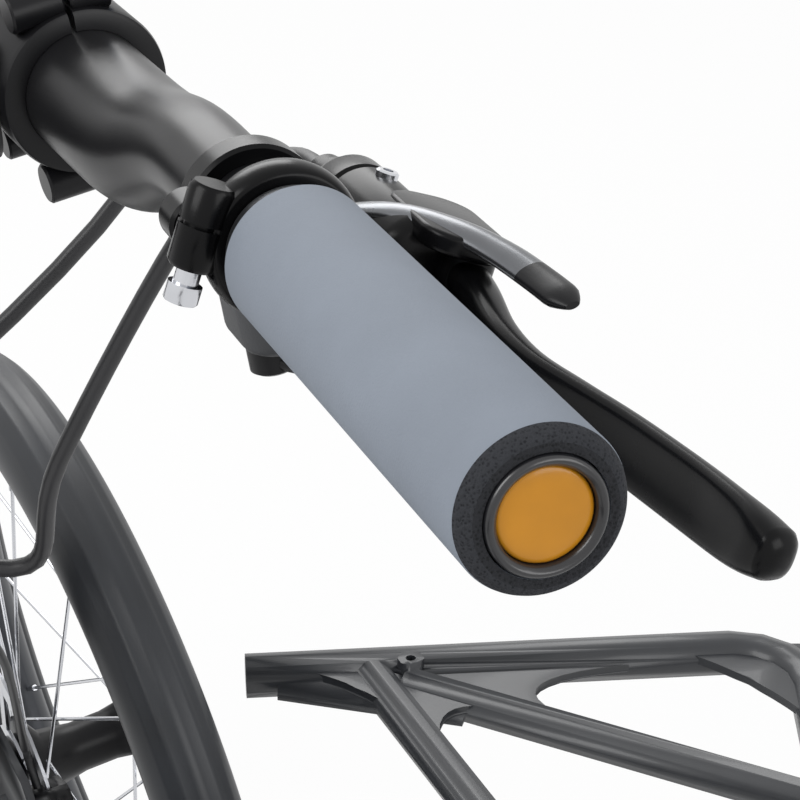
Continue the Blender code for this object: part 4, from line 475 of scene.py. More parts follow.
def chamfered(start, stop, bore, outer, along, inward):
    """A profile for a turned ring or disc whose two outer rims are cut off at a slant."""
    return [(start, bore), (start, outer - inward), (start + along, outer), (stop - along, outer),
            (stop, outer - inward), (stop, bore)]


def smooth_values(rows, count):
    """Rows of numbers made denser with a smooth curve through them."""
    route = []
    last = len(rows) - 1
    for index in range(last):
        around = [rows[max(index - 1, 0)], rows[index], rows[index + 1], rows[min(index + 2, last)]]
        for part in range(count):
            t = part / count
            row = []
            for p0, p1, p2, p3 in zip(*around):
                row.append(0.5 * (2 * p1 + (p2 - p0) * t + (2 * p0 - 5 * p1 + 4 * p2 - p3) * t ** 2
                                  + (3 * p1 - p0 - 3 * p2 + p3) * t ** 3))
            route.append(row)
    route.append(list(rows[last]))
    return route


def smooth_path(points, count):
    """Points on a smooth curve through the given ones."""
    return [Vector(row) for row in smooth_values([tuple(point) for point in points], count)]


def clamped(value):
    """A value held between 0 and 1."""
    return max(0.0, min(1.0, value))


def fuller(value, power):
    """A sine or cosine drawn out, for a section between round and square."""
    return math.copysign(abs(value) ** power, value)


def rounded_box(centre, size, corner, count):
    """The outline of a rectangle with round corners."""
    outline = []
    for quarter, (sx, sy) in enumerate(((1, 1), (-1, 1), (-1, -1), (1, -1))):
        cx = centre[0] + sx * (size[0] / 2 - corner)
        cy = centre[1] + sy * (size[1] / 2 - corner)
        for step in range(count + 1):
            turn = math.pi / 2 * (quarter + step / count)
            outline.append((cx + corner * math.cos(turn), cy + corner * math.sin(turn)))
    return outline


def basis(origin, x_axis, y_axis, z_axis):
    """A placing matrix from an origin and three unit vectors."""
    made = Matrix((x_axis, y_axis, z_axis)).transposed().to_4x4()
    made.translation = origin
    return made


def plate(name, outline, thickness, place, finishes, bevel):
    """A flat plate with rounded edges: an outline in local X and Y, centred in local Z."""
    levels = []
    for step in range(4, -1, -1):
        turn = math.pi / 2 * step / 4
        levels.append((-thickness / 2 + bevel * (1 - math.sin(turn)), bevel * (1 - math.cos(turn))))
    levels += [(-z, inset) for z, inset in reversed(levels)]
    middle = Vector((sum(x for x, y in outline), sum(y for x, y in outline))) / len(outline)
    rings = []
    for z, inset in levels:
        ring = []
        for x, y in outline:
            away = Vector((x, y)) - middle
            inner = away * (1 - inset / away.length)
            ring.append(place @ Vector((middle.x + inner.x, middle.y + inner.y, z)))
        rings.append(ring)
    return skin(name, rings, finishes)


def turn_about(point, axis, angle):
    """A rotation about a line."""
    return Matrix.Translation(point) @ Matrix.Rotation(angle, 4, axis) @ Matrix.Translation(-point)


TO_BAR = (turn_about(SWIVEL_POINT, STEER_AXIS, REST_STEER) @ turn_about(SWIVEL_POINT, UP, REST_TWIST)
          @ Matrix.Translation(SWIVEL_POINT + FORWARD * STEM_LENGTH + UP * STEM_RISE))

# The nodes that a finer piece stands for so far
shown_finely = set()


def put(thing, body, slot, *replaced):
    """Let a finished piece ride on its body, and hide the nodes that it stands for."""
    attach(thing, body)
    if replaced:
        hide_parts(*replaced)
        shown_finely.update(replaced)


def put_on_bar(thing, slot, *replaced, body="bar"):
    """Swing a piece that was built in the bar's own frame into its place, and put it."""
    thing.data.transform(TO_BAR)
    thing.data.update()
    put(thing, body, slot, *replaced)


# Handlebar geometry, in the bar's own frame

def bar_bend_end(side):
    """Where the straight outer part of the bar begins."""
    out = side * (BAR_CENTRE_HALF + BAR_BEND * BEND_REACH)
    return Vector((-BAR_BEND * math.sin(BAR_BACKSWEEP) / 2, out, BAR_RISE))


def bar_outward(side):
    """The direction of a grip, from the middle out."""
    return Vector((-math.sin(BAR_BACKSWEEP) * math.cos(BAR_UPSWEEP),
                   side * math.cos(BAR_BACKSWEEP) * math.cos(BAR_UPSWEEP), math.sin(BAR_UPSWEEP)))


def control_point(side, inward, ahead, above, tilt=0.0):
    """A place beside a grip: distances from the grip's outer end in, ahead and above."""
    axis = -bar_outward(side)
    up = (UP - axis * UP.dot(axis)).normalized()
    front = up.cross(axis)
    if front.x < 0:
        front = -front
    ahead_way = front * math.cos(tilt) - up * math.sin(tilt)
    above_way = front * math.sin(tilt) + up * math.cos(tilt)
    end = bar_bend_end(side) + bar_outward(side) * BAR_STRAIGHT
    return end + axis * inward + ahead_way * ahead + above_way * above


def control_axes(side, tilt=0.0):
    """Unit vectors inward, ahead and above at a grip."""
    origin = control_point(side, 0, 0, 0, tilt)
    return [control_point(side, *way, tilt) - origin for way in ((1, 0, 0), (0, 1, 0), (0, 0, 1))]


def make_handlebar():
    """The riser bar with a smooth taper from its clamped middle to its ends."""
    halves = []
    for side in (-1, 1):
        bend = bar_bend_end(side)
        out = bar_outward(side)
        inner = Vector((0.0, side * BAR_CENTRE_HALF, 0.0))
        pull = BAR_BEND * BEND_PULL
        half = [(inner, BAR_CENTRE_DIAMETER / 2)]
        for step in range(1, 24):
            t = step / 24
            c1 = inner + Vector((0.0, side * pull, 0.0))
            c2 = bend - out * pull
            point = (inner * (1 - t) ** 3 + c1 * 3 * t * (1 - t) ** 2 + c2 * 3 * t * t * (1 - t)
                     + bend * t ** 3)
            taper = 3 * t * t - 2 * t ** 3
            half.append((point, BAR_CENTRE_DIAMETER / 2 + (BAR_DIAMETER - BAR_CENTRE_DIAMETER) / 2 * taper))
        half += [(bend, BAR_DIAMETER / 2), (bend + out * (BAR_STRAIGHT - PLUG_DEPTH), BAR_DIAMETER / 2)]
        halves.append(half)
    route = list(reversed(halves[0])) + halves[1]
    bar = tube("handlebar_fine", [point for point, radius in route], [radius for point, radius in route],
               BAR_BLACK, 64)
    put_on_bar(bar, "satin_alloy", "handlebar")


def make_grip(side, word):
    """The foam grip, its bar-end plug and the plug's domed disc."""
    axis = -bar_outward(side)
    end = control_point(side, 0, 0, 0)
    outer = GRIP_DIAMETER / 2 - GRIP_FLAT
    bore = BAR_DIAMETER / 2 + TOUCH_GAP
    profile = [(0.0, bore)] + [(along, outer - inward) for along, inward in GRIP_CUT_EDGE]
    profile += [(GRIP_LENGTH - along, outer - inward) for along, inward in GRIP_INNER_EDGE]
    profile.append((GRIP_LENGTH, bore))
    side_band, end_band, cut_band = 0, 1, 2
    bands = [end_band] + [cut_band] * 5 + [side_band] * 4 + [end_band, side_band]
    grip = revolve("grip_fine_" + word, profile, end, axis, [GRIP_SIDE, GRIP_END, GRIP_CUT], 128, True, bands,
                   60.0)
    put_on_bar(grip, "grip_foam", "grip_" + word)

    lip = PLUG_DIAMETER / 2
    back = PLUG_DEPTH - TOUCH_GAP
    recess = DISC_DIAMETER / 2 + DISC_GAP
    profile = [(back, 0.0), (back, lip)] + [(along, lip - inward) for along, inward in PLUG_LIP]
    profile += [(PLUG_RECESS[0], recess), (PLUG_RECESS[1], recess), (PLUG_RECESS[1], 0.0)]
    plug = revolve("plug_fine_" + word, profile, end, axis, PLUG_BLACK, 96, angle=50.0)
    put_on_bar(plug, "plug_black", "bar_end_plug_" + word)

    radius = DISC_DIAMETER / 2
    dome = [(DISC_BACK, 0.0), (DISC_BACK, radius)]
    for step in range(9):
        turn = math.pi / 2 * step / 8
        share = 1 - DISC_SHOULDER * math.sin(turn) if step < 3 else math.cos(turn) ** DISC_ROUNDNESS
        dome.append((DISC_CROWN - DISC_CROWN * math.sin(turn), radius * share))
    dome.append((0.0, 0.0))
    disc = revolve("disc_fine_" + word, dome, end, axis, PLUG_AMBER, 96, angle=60.0)
    put_on_bar(disc, "plug_amber", "plug_disc_" + word)


# Places along the blade: inward, ahead, above, half thickness and half height
LEVER_STATIONS = [
    (0.146, 0.044, 0.0, 0.0045, 0.004), (0.13, 0.042, -0.001, 0.004, 0.0042),
    (0.114, 0.0405, -0.0035, 0.0036, 0.0042), (0.1, 0.042, -0.0058, 0.0034, 0.005),
    (0.086, 0.0465, -0.0072, 0.0032, 0.0062), (0.07, 0.0515, -0.0078, 0.003, 0.0068),
    (0.05, 0.0555, -0.008, 0.003, 0.007), (0.036, 0.0575, -0.008, 0.0034, 0.0068),
    (0.029, 0.059, -0.008, 0.0046, 0.0062), (0.024, 0.0605, -0.008, 0.005, 0.0052)]


def make_brake_lever(side, word):
    """The blade: a slim neck from the pivot, a broad dished finger part and a rounded tip, on its hub."""
    axis, ahead, above = control_axes(side, LEVER_TILT)
    stations = smooth_values(LEVER_STATIONS, 6)
    rings = []
    for index, (inward, forward, rise, thick, tall) in enumerate(stations):
        centre = control_point(side, inward, forward, rise, LEVER_TILT)
        before, after = beside(stations, index)
        run = (axis * (after[0] - before[0]) + ahead * (after[1] - before[1])
               + above * (after[2] - before[2])).normalized()
        out = run.cross(above).normalized()
        if out.dot(ahead) < 0:
            out = -out
        dish = LEVER_DISH * clamped((DISH_START - inward) / DISH_START_RUN)
        dish *= clamped((inward - DISH_END) / DISH_END_RUN)
        ring = []
        for turn in turns(40):
            wide = fuller(math.cos(turn), LEVER_FULLNESS)
            high = fuller(math.sin(turn), LEVER_FULLNESS)
            wide *= 1.0 - dish * max(0.0, 1.0 - (high / DISH_HEIGHT) ** 2)
            ring.append(centre + out * wide * thick + above * high * tall)
        rings.append(ring)
    end = rings[-1]
    middle = sum(end, Vector()) / len(end)
    tip = (middle - sum(rings[-3], Vector()) / len(end)).normalized()
    for share, push in LEVER_TIP:
        rings.append([middle + (point - middle) * share + tip * push for point in end])
    lever = skin("lever_fine_" + word, rings, LEVER_BLACK, angle=60.0)
    pivot = control_point(side, LEVER_PIVOT_IN, LEVER_PIVOT_AHEAD, 0.0, LEVER_TILT)
    half = LEVER_HUB_THICKNESS / 2
    profile = chamfered(-half, half, LEVER_PIN_RADIUS, LEVER_HUB_RADIUS, LEVER_HUB_CUT, LEVER_HUB_CUT)
    hub = revolve("lever_hub_" + word, profile, pivot, above, LEVER_BLACK, 48, True)
    body = word + "_lever"
    put_on_bar(lever, "lever_black", "brake_lever_" + word, body=body)
    put_on_bar(hub, "lever_black", body=body)


# The neck's route from the middle of the clamp's collar: inward, ahead and above
NECK_ROUTE = [(0.0, 0.0125, 0.0), (0.001, 0.02, -0.002), (0.003, 0.027, -0.004), (0.006, 0.033, -0.005)]

# Turned pieces of the brake's clamp: distance along the axis and radius
MASTER_PROFILE = [
    (0.0, 0.0), (0.0, 0.007), (0.001, 0.0085), (0.004, 0.0096), (0.036, 0.0098), (0.0366, 0.009),
    (0.0378, 0.009), (0.0384, 0.0098), (0.046, 0.0096), (0.05, 0.008), (0.0502, 0.0062),
    (0.056, 0.006), (0.0566, 0.005), (0.062, 0.0048), (0.062, 0.0)]
PIN_PROFILE = [
    (-0.0097, 0.0), (-0.0097, 0.002), (-0.0094, 0.0022), (0.0094, 0.0022), (0.0097, 0.002),
    (0.0097, 0.0009), (0.0085, 0.0009), (0.0085, 0.0)]
CLAMP_LUG_PROFILE = [
    (-0.0095, 0.0), (-0.0095, 0.0044), (-0.0085, 0.0052), (-0.0005, 0.0052), (-0.0005, 0.004),
    (0.0005, 0.004), (0.0005, 0.0052), (0.0075, 0.0052), (0.0085, 0.0044), (0.0085, 0.0)]
CLAMP_BOLT_PROFILE = [
    (0.0, 0.0), (0.0, 0.0012), (0.0008, 0.0014), (0.0008, 0.003), (0.0, 0.0034), (0.0004, 0.0037),
    (0.004, 0.0037), (0.004, 0.0027), (0.0078, 0.0027), (0.0078, 0.0)]
BLEED_PROFILE = [
    (0.0, 0.0), (0.0, 0.0026), (0.0014, 0.0026), (0.0018, 0.0022), (0.0018, 0.0012), (0.0008, 0.0012),
    (0.0008, 0.0)]
HINGE_PROFILE = [
    (0.0, 0.0), (0.0, 0.005), (0.0008, 0.0058), (0.0085, 0.0058), (0.0092, 0.005), (0.0092, 0.0)]
BRASS_PROFILE = [(0.0, 0.0), (0.0, 0.0018), (0.0004, 0.0022), (0.0015, 0.0022), (0.0015, 0.0)]


def make_perch(side, word):
    """The brake's clamp with its bolt, the master cylinder, the slotted block and the lever's pin."""
    axis, ahead, above = control_axes(side, LEVER_TILT)

    def point(inward, forward, up=0.0):
        return control_point(side, inward, forward, up, LEVER_TILT)

    def turned(name, start, way, profile, finish, slot, sides=64):
        put_on_bar(revolve(name + "_" + word, profile, start, way, finish, sides, angle=40.0), slot)

    ring_at = GRIP_LENGTH + TOUCH_GAP
    profile = chamfered(0.0, LOCK_RING_WIDTH, CLAMP_BORE, LOCK_RING_RADIUS, 0.0005, 0.0006)
    ring = revolve("lock_ring_" + word, profile, point(ring_at, 0), axis, LOCK_RING, 96, True)
    put_on_bar(ring, "satin_alloy")

    collar_at = ring_at + COLLAR_SHIFT
    half = COLLAR_WIDTH / 2
    rounding = [(half - half * math.cos(turn), COLLAR_RADIUS + COLLAR_CROWN * math.sin(turn))
                for turn in (math.pi * step / 12 for step in range(13))]
    profile = [(0.0, CLAMP_BORE)] + rounding + [(COLLAR_WIDTH, CLAMP_BORE)]
    collar = revolve("perch_fine_" + word, profile, point(collar_at, 0), axis, LEVER_BLACK, 96, True,
                     angle=50.0)
    put_on_bar(collar, "black_alloy", "brake_perch_" + word)
    middle = collar_at + half
    route = smooth_path([point(middle + inward, forward, up) for inward, forward, up in NECK_ROUTE], 6)
    put_on_bar(tube("perch_neck_" + word, route, NECK_RADIUS, LEVER_BLACK, 32, squash=0.8), "black_alloy")
    master = point(MASTER_IN, MASTER_AHEAD)
    turned("master_cylinder", master, axis, MASTER_PROFILE, LEVER_BLACK, "black_alloy")

    pivot = point(LEVER_PIVOT_IN, LEVER_PIVOT_AHEAD)
    slab_up = above * (1 if side < 0 else -1)

    def slab(name, inward, level, size, corner, steps, thickness, edge):
        place = basis(pivot + axis * inward - ahead * SLAB_BACK + above * level, axis, ahead, slab_up)
        outline = rounded_box((0.0, 0.0), size, corner, steps)
        put_on_bar(plate(name + "_" + word, outline, thickness, place, LEVER_BLACK, edge), "black_alloy")

    for name, level in (("perch_cheek_top", CHEEK_LEVEL), ("perch_cheek_low", -CHEEK_LEVEL)):
        slab(name, CHEEK_IN, level, CHEEK_SIZE, CHEEK_CORNER, 8, CHEEK_THICKNESS, CHEEK_EDGE)
    slab("perch_web", WEB_IN, 0.0, WEB_SIZE, WEB_CORNER, 6, WEB_THICKNESS, WEB_EDGE)
    pin = revolve("lever_pin_fine_" + word, PIN_PROFILE, pivot, above, STEEL, 40)
    put_on_bar(pin, "steel", "lever_pin_" + word)

    lug = point(middle, CLAMP_LUG_BEHIND)
    turned("clamp_lug", lug, above, CLAMP_LUG_PROFILE, LEVER_BLACK, "black_alloy")
    turned("clamp_bolt", lug - above * CLAMP_BOLT_DROP, above, CLAMP_BOLT_PROFILE, STEEL, "steel")
    bleed = point(MASTER_IN + BLEED_SHIFT, MASTER_AHEAD, BLEED_ABOVE)
    turned("bleed_screw", bleed, above, BLEED_PROFILE, STEEL, "steel", 32)
    hinge = point(collar_at + HINGE_SHIFT, HINGE_BEHIND, HINGE_ABOVE)
    turned("hinge_barrel", hinge, axis, HINGE_PROFILE, LEVER_BLACK, "black_alloy")
    turned("brass_pin", hinge - axis * BRASS_STANDOUT, axis, BRASS_PROFILE, BRASS, "steel", 32)


# Routes at the shifter: inward from its clamp, ahead and above. The thumb lever's are above its own level.
SHIFTER_WEB_ROUTE = [(0.001, 0, -0.0125), (0.002, 0, -0.018), (0.003, 0.001, SHIFTER_DROP)]
SHIFTER_WEB_RADII = [0.0045, 0.005, 0.006]
THUMB_ROUTE = [(0.01, 0.002, 0.0), (-0.004, 0.011, 0.0), (-0.02, 0.02, 0.0), (-0.034, 0.026, -0.001)]
RELEASE_ROUTE = [
    (0.013, 0.0165, -0.012), (0.006, 0.0215, -0.0095), (-0.006, 0.029, -0.0078), (-0.02, 0.037, -0.0095),
    (-0.032, 0.042, -0.012), (-0.045, 0.0452, -0.0145), (-0.058, 0.0468, -0.016)]


def make_shifter():
    """The shifter under the bar: clamp, small round pod, thumb lever and polished release lever."""
    side = -1
    axis, ahead, above = control_axes(side)

    def point(inward, forward, up):
        return control_point(side, SHIFTER_IN + inward, forward, up)

    profile = chamfered(-SHIFTER_CLAMP_HALF, SHIFTER_CLAMP_HALF, CLAMP_BORE, SHIFTER_CLAMP_RADIUS,
                        SHIFTER_CLAMP_CUT, SHIFTER_CLAMP_CUT)
    collar = revolve("shifter_clamp", profile, point(0, 0, 0), axis, LEVER_BLACK, 96, True)
    put_on_bar(collar, "satin_alloy", "shifter_body")
    pivot = point(*SHIFTER_PIVOT)
    place = basis(pivot, axis, ahead, axis.cross(ahead))
    outline = rounded_box(POD_CENTRE, POD_SIZE, POD_CORNER, 10)
    pod = plate("shifter_pod", outline, POD_THICKNESS, place, CASING, POD_EDGE)
    put_on_bar(pod, "satin_alloy")
    web = tube("shifter_web", [point(*row) for row in SHIFTER_WEB_ROUTE], SHIFTER_WEB_RADII, CASING, 32)
    put_on_bar(web, "satin_alloy")

    low = POD_THICKNESS / 2 + TOUCH_GAP
    profile = [(-low - 0.0075, 0.0), (-low - 0.0075, 0.0045), (-low - 0.0068, 0.0055),
               (-low - 0.0006, 0.0055), (-low, 0.0048), (-low, 0.0)]
    hub = revolve("thumb_hub", profile, pivot, above, BLACK_ALLOY, 64)
    put_on_bar(hub, "black_alloy", "shifter_thumb_lever", body="thumb_lever")
    level = SHIFTER_DROP - low - THUMB_BLADE_DROP
    route = smooth_path([point(inward, forward, level + up) for inward, forward, up in THUMB_ROUTE], 8)
    radii = [THUMB_BLADE_RADIUS + THUMB_BLADE_GAIN * index / (len(route) - 1) for index in range(len(route))]
    blade = tube("thumb_blade", route, radii, BLACK_ALLOY, 32, squash=0.7)
    put_on_bar(blade, "black_alloy", body="thumb_lever")
    make_release_lever(point, above, low)


def make_release_lever(point, above, low):
    """The release lever: a flat tapered blade with a black tip."""
    root = point(*RELEASE_ROOT, SHIFTER_DROP + low) + above * RELEASE_LIFT
    route = smooth_path([root] + [point(*row) for row in RELEASE_ROUTE], 8)
    count = len(route) - 1
    bands = [1 if index > count * RELEASE_TIP_SHARE else 0 for index in range(count)]
    rings = []
    for index, centre in enumerate(route):
        before, after = beside(route, index)
        flat, thick = frame_along((after - before).normalized(), above)
        radius = RELEASE_RADIUS + RELEASE_GAIN * min(1.0, index / count * RELEASE_GAIN_RATE)
        near_end = max(0.0, (index / count - RELEASE_END_START) / (1.0 - RELEASE_END_START))
        share = 1.0 - RELEASE_END_TAPER * near_end
        rings.append([centre + flat * math.cos(turn) * radius * share
                      + thick * math.sin(turn) * radius * RELEASE_FLATNESS * share
                      for turn in turns(28)])
    release = skin("release_fine", rings, [DARK_CHROME, BLACK_ALLOY], slots=bands)
    put_on_bar(release, "steel", "shifter_release_lever", body="release_lever")


def make_stem():
    """The swivel stem's socket and tapered arm."""
    socket_at = Vector((-STEM_LENGTH, 0.0, -STEM_RISE))
    top = STEM_RISE + 0.018
    profile = [(0.0, 0.0114), (0.0, 0.0185), (0.001, 0.0195), (0.004, 0.0201), (STEM_RISE + 0.01, 0.0195),
               (STEM_RISE + 0.015, 0.018), (top, 0.014), (top, 0.005), (top - 0.002, 0.0046),
               (top - 0.002, 0.0), (top - 0.006, 0.0), (top - 0.006, 0.0114)]
    socket = revolve("stem_fine", profile, socket_at, UP, BLACK_ALLOY, 96, True)
    put_on_bar(socket, "black_alloy", "stem")
    route = smooth_path([Vector((-STEM_LENGTH, 0, -0.002)), Vector((-STEM_LENGTH * 0.6, 0, -0.001)),
                         Vector((-0.022, 0, 0))], 8)
    radii = [0.018 - 0.0015 * math.sin(math.pi * index / 16) for index in range(17)]
    put_on_bar(tube("stem_arm", route, radii, BLACK_ALLOY, 64), "black_alloy")


def make_stem_clamp():
    """The clamp's two halves round the bar, with their lugs and round bolts, hollow in the top."""
    inner = BAR_CENTRE_DIAMETER / 2 + CLAMP_GAP
    outer = BAR_CENTRE_DIAMETER / 2 + STEM_CLAMP_WALL
    half = STEM_CLAMP_HALF
    edge = [(inner, half), (outer - 0.0015, half), (outer - 0.0004, half - 0.0006), (outer, half - 0.0018)]
    section = [(radius, -across) for radius, across in edge] + edge[::-1]
    halves = (("stem_clamp_back", 92.0, ()), ("faceplate_fine", -88.0, ("stem_faceplate",)))
    for name, start, replaced in halves:
        rings = []
        for step in range(49):
            turn = math.radians(start + 176.0 * step / 48)
            way = Vector((math.cos(turn), 0.0, math.sin(turn)))
            rings.append([way * radius + LEFT * across for radius, across in section])
        put_on_bar(skin(name, rings, BLACK_ALLOY), "black_alloy", *replaced)
    radius, height = STEM_BOLT_RADIUS, STEM_BOLT_HEIGHT
    head = [(0.0, 0.0), (0.0, radius * 0.96), (height * 0.12, radius), (height * 0.8, radius),
            (height, radius * 0.86), (height, radius * 0.52), (height * 0.45, radius * 0.5),
            (height * 0.45, 0.0)]
    for end in (-1, 1):
        for rise in (-1, 1):
            across = end * (half - STEM_BOLT_INSET)
            up = rise * STEM_BOLT_RISE
            for name, start, stop in (("lug_back", -0.014, -0.0004), ("lug_front", 0.001, 0.012)):
                profile = chamfered(start, stop, 0.0, STEM_LUG_RADIUS, STEM_LUG_CUT, STEM_LUG_CUT)
                lug = revolve("%s_%d_%d" % (name, end, rise), profile, Vector((0.0, across, up)), FORWARD,
                              BLACK_ALLOY, 48)
                put_on_bar(lug, "black_alloy")
            bolt = revolve("stem_bolt_%d_%d" % (end, rise), head, Vector((STEM_BOLT_AHEAD, across, up)),
                           FORWARD, BOLT_BLUE, 48)
            put_on_bar(bolt, "steel")


# Hoses, platform plates and saddle

HOSE_ROUTES = {
    "brake_hose_right": ("bar", [
        (-0.05517, -0.14156, 1.00892), (-0.02709, -0.13130, 1.00043), (0.00287, -0.10836, 0.97377),
        (0.00787, -0.06928, 0.89955), (0.01948, -0.05730, 0.86000), (0.01748, -0.01530, 0.86800)]),
    "brake_hose_left": ("bar", [
        (0.13321, -0.05310, 1.00208), (0.10729, -0.06820, 0.99555), (0.06841, -0.09085, 0.96075),
        (0.04988, -0.00385, 0.87554), (0.02148, 0.05530, 0.86200), (0.01748, 0.01530, 0.86800)]),
    "front_brake_hose": ("fork_group", [
        (0.74432, 0.04871, 0.27409), (0.74863, 0.05550, 0.30305), (0.69781, 0.05581, 0.39097),
        (0.66450, 0.07015, 0.44546)]),
    "rear_brake_hose": ("frame", [
        (-0.73067, 0.04750, 0.29210), (-0.70418, 0.04750, 0.30618), (-0.60890, 0.05000, 0.32200),
        (-0.53890, 0.04200, 0.34500), (-0.46390, 0.02400, 0.37200), (-0.40690, 0.01500, 0.38800)]),
}


def make_hose(node, body, points):
    """A brake hose on its smooth route, riding on its body in place of its imported node."""
    route = smooth_path([Vector(point) for point in points], 8)
    hose = tube(node + "_fine", route, HOSE_DIAMETER / 2, HOSE_BLACK, 16)
    put(hose, body, "hose", node)


def corner_plate(name, corner, way_a, way_b, reach_a, reach_b, fullness):
    """A flat plate that fills the corner of two tubes, with a hollow curve as its free edge."""
    end_a = corner + way_a.normalized() * reach_a
    end_b = corner + way_b.normalized() * reach_b
    pull = corner + (end_a - corner) * fullness + (end_b - corner) * fullness
    outline = [(corner.x, corner.y)]
    for step in range(13):
        share = step / 12
        edge = end_a * (1 - share) ** 2 + pull * 2 * share * (1 - share) + end_b * share ** 2
        outline.append((edge.x, edge.y))
    if way_a.cross(way_b).z < 0:
        outline.reverse()
    place = Matrix.Translation(Vector((0.0, 0.0, corner.z)))
    put(plate(name, outline, PLATE_THICKNESS, place, FRAME_PAINT, PLATE_EDGE), "frame", "frame_paint")


def make_platform_plates():
    """Welded plates in the corners of the platform's members, on both sides of the wheel."""
    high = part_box("platform_frame")[1]
    level = high[2] - PLATFORM_TUBE_RADIUS
    front = high[0] - PLATFORM_TUBE_RADIUS - PLATFORM_SWEEP
    outer = high[1] - PLATFORM_TUBE_RADIUS
    back = Vector((-1.0, 0.0, 0.0))
    for side, word, node_y in PLATFORM_NODES:
        node = Vector((front, side * node_y, level))
        strut_at = Vector((front - STRUT_START_BACK, side * (node_y + STRUT_START_OUT), level))
        slanted_end = Vector((PLATFORM_CROSS, side * PLATFORM_SLANT_END, level))
        corner = Vector((front + PLATFORM_SWEEP, side * outer, level))
        rail = Vector((PLATFORM_SWEEP, side * (outer - node_y), 0.0))
        strut = Vector((front - STRUT_END_BACK, side * outer, level)) - strut_at
        slanted = slanted_end - node
        inward = Vector((0.0, -side, 0.0))
        plates = {
            "rail": (strut_at, rail, strut), "strut": (node, strut, slanted),
            "inner": (node, inward, slanted), "corner": (corner, inward, back),
            "cross": (slanted_end, -slanted, inward),
        }
        for name, (place, way_a, way_b) in plates.items():
            corner_plate("plate_%s_%s" % (name, word), place, way_a, way_b, *PLATE_SIZES[name])


# The saddle's shell from the rear: ahead of its middle, half width, half thickness and rise
SADDLE_STATIONS = [
    (-0.128, 0.02, 0.008, -0.012), (-0.122, 0.06, 0.016, -0.01), (-0.09, 0.079, 0.0235, -0.006),
    (-0.045, 0.075, 0.0255, -0.006), (0.0, 0.05, 0.0235, -0.01), (0.05, 0.03, 0.0205, -0.012),
    (0.1, 0.022, 0.0175, -0.012), (0.136, 0.017, 0.0135, -0.013), (0.1455, 0.008, 0.007, -0.016)]

# A saddle rail from the rear: ahead, out and up from the clamp
SADDLE_RAIL_ROUTE = [
    (-0.1, 0.034, SADDLE_STACK - 0.032), (-0.08, 0.03, 0.012), (-0.055, 0.022, 0.0), (-0.01, 0.022, 0.0),
    (0.04, 0.022, 0.0), (0.078, 0.016, 0.01), (0.11, 0.008, SADDLE_STACK - 0.034)]


def make_saddle():
    """The saddle's padded shell with its raised edge and centre channel, on two rails."""
    low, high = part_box("saddle")
    clamp = Vector((low[0] + SADDLE_BACK, 0.0, high[2] - SADDLE_RAIL_DROP))
    rings = []
    for x, wide, thick, rise in smooth_values(SADDLE_STATIONS, 6):
        centre = clamp + Vector((x, 0.0, SADDLE_STACK - SADDLE_SHELL_DROP + rise))
        ring = []
        for turn in turns(56):
            across = math.cos(turn)
            up = math.sin(turn)
            tall = thick if up > 0 else thick * SADDLE_UNDERSIDE
            groove = SADDLE_GROOVE_DEPTH * math.exp(-(across / SADDLE_GROOVE_SHARE) ** 2)
            groove *= max(0.0, up) * min(1.0, wide / SADDLE_GROOVE_FADE)
            wing = -SADDLE_WING_DROP * (wide / SADDLE_HALF_WIDTH) * across ** 2
            ring.append(centre + Vector((0.0, wide * across, tall * up + wing - groove)))
        rings.append(ring)
    shell = skin("saddle_fine", rings, SADDLE_SKIN, angle=60.0)
    put(shell, "seat", "saddle_skin", "saddle")
    for side, word in SIDES:
        route = smooth_path([clamp + Vector((x, side * y, z)) for x, y, z in SADDLE_RAIL_ROUTE], 6)
        put(tube("saddle_rail_" + word, route, SADDLE_RAIL_RADIUS, STEEL), "seat", "steel")


# Wheels

def make_tyre(prefix, centre, axis):
    """A road tyre: round walls, a shallow shoulder line and fine tread grooves."""
    wall = BEAD_RADIUS + TYRE_BEAD_HEIGHT
    section = [(-BEAD_HALF, BEAD_RADIUS), (-BEAD_HALF, wall)]
    middle = TYRE_RADIUS - TYRE_FLAT - TYRE_WIDTH / 2
    for step in range(TYRE_ARC_STEPS + 1):
        turn = math.radians(215 - 250 * step / TYRE_ARC_STEPS)
        radius = TYRE_WIDTH / 2
        if abs(turn - math.pi / 2) > SHOULDER_ANGLE:
            radius -= SHOULDER_DEPTH
        if step in GROOVE_STEPS:
            radius -= GROOVE_DEPTH
        section.append((radius * math.cos(turn), middle + radius * math.sin(turn)))
    section += [(BEAD_HALF, wall), (BEAD_HALF, BEAD_RADIUS)]
    tyre = revolve(prefix + "_tyre_fine", section, centre, axis, TYRE_RUBBER, 160, True, angle=50.0)
    put(tyre, prefix + "_wheel", "tyre", prefix + "_tyre")


def make_rim(prefix, centre, axis):
    """The box rim, with the hooks that hold the tyre's beads."""
    half = RIM_WIDTH / 2
    hook = BEAD_HALF + TOUCH_GAP
    floor = BEAD_RADIUS - TOUCH_GAP
    well = [(-half, floor + RIM_EDGE), (-half + 0.0005, floor + RIM_HOOK), (-hook, floor + RIM_HOOK),
            (-hook, floor)]
    wall = [(half, floor - 0.006), (half * 0.8, floor - 0.0125), (half * 0.45, floor - RIM_DEPTH + 0.0008),
            (half * 0.36, floor - RIM_DEPTH)]
    section = well + [(-along, radius) for along, radius in reversed(well)]
    section += wall + [(-along, radius) for along, radius in reversed(wall)]
    rim = revolve(prefix + "_rim_fine", section, centre, axis, SATIN_ALLOY, 160, True)
    put(rim, prefix + "_wheel", "satin_alloy", prefix + "_spoked_rim")


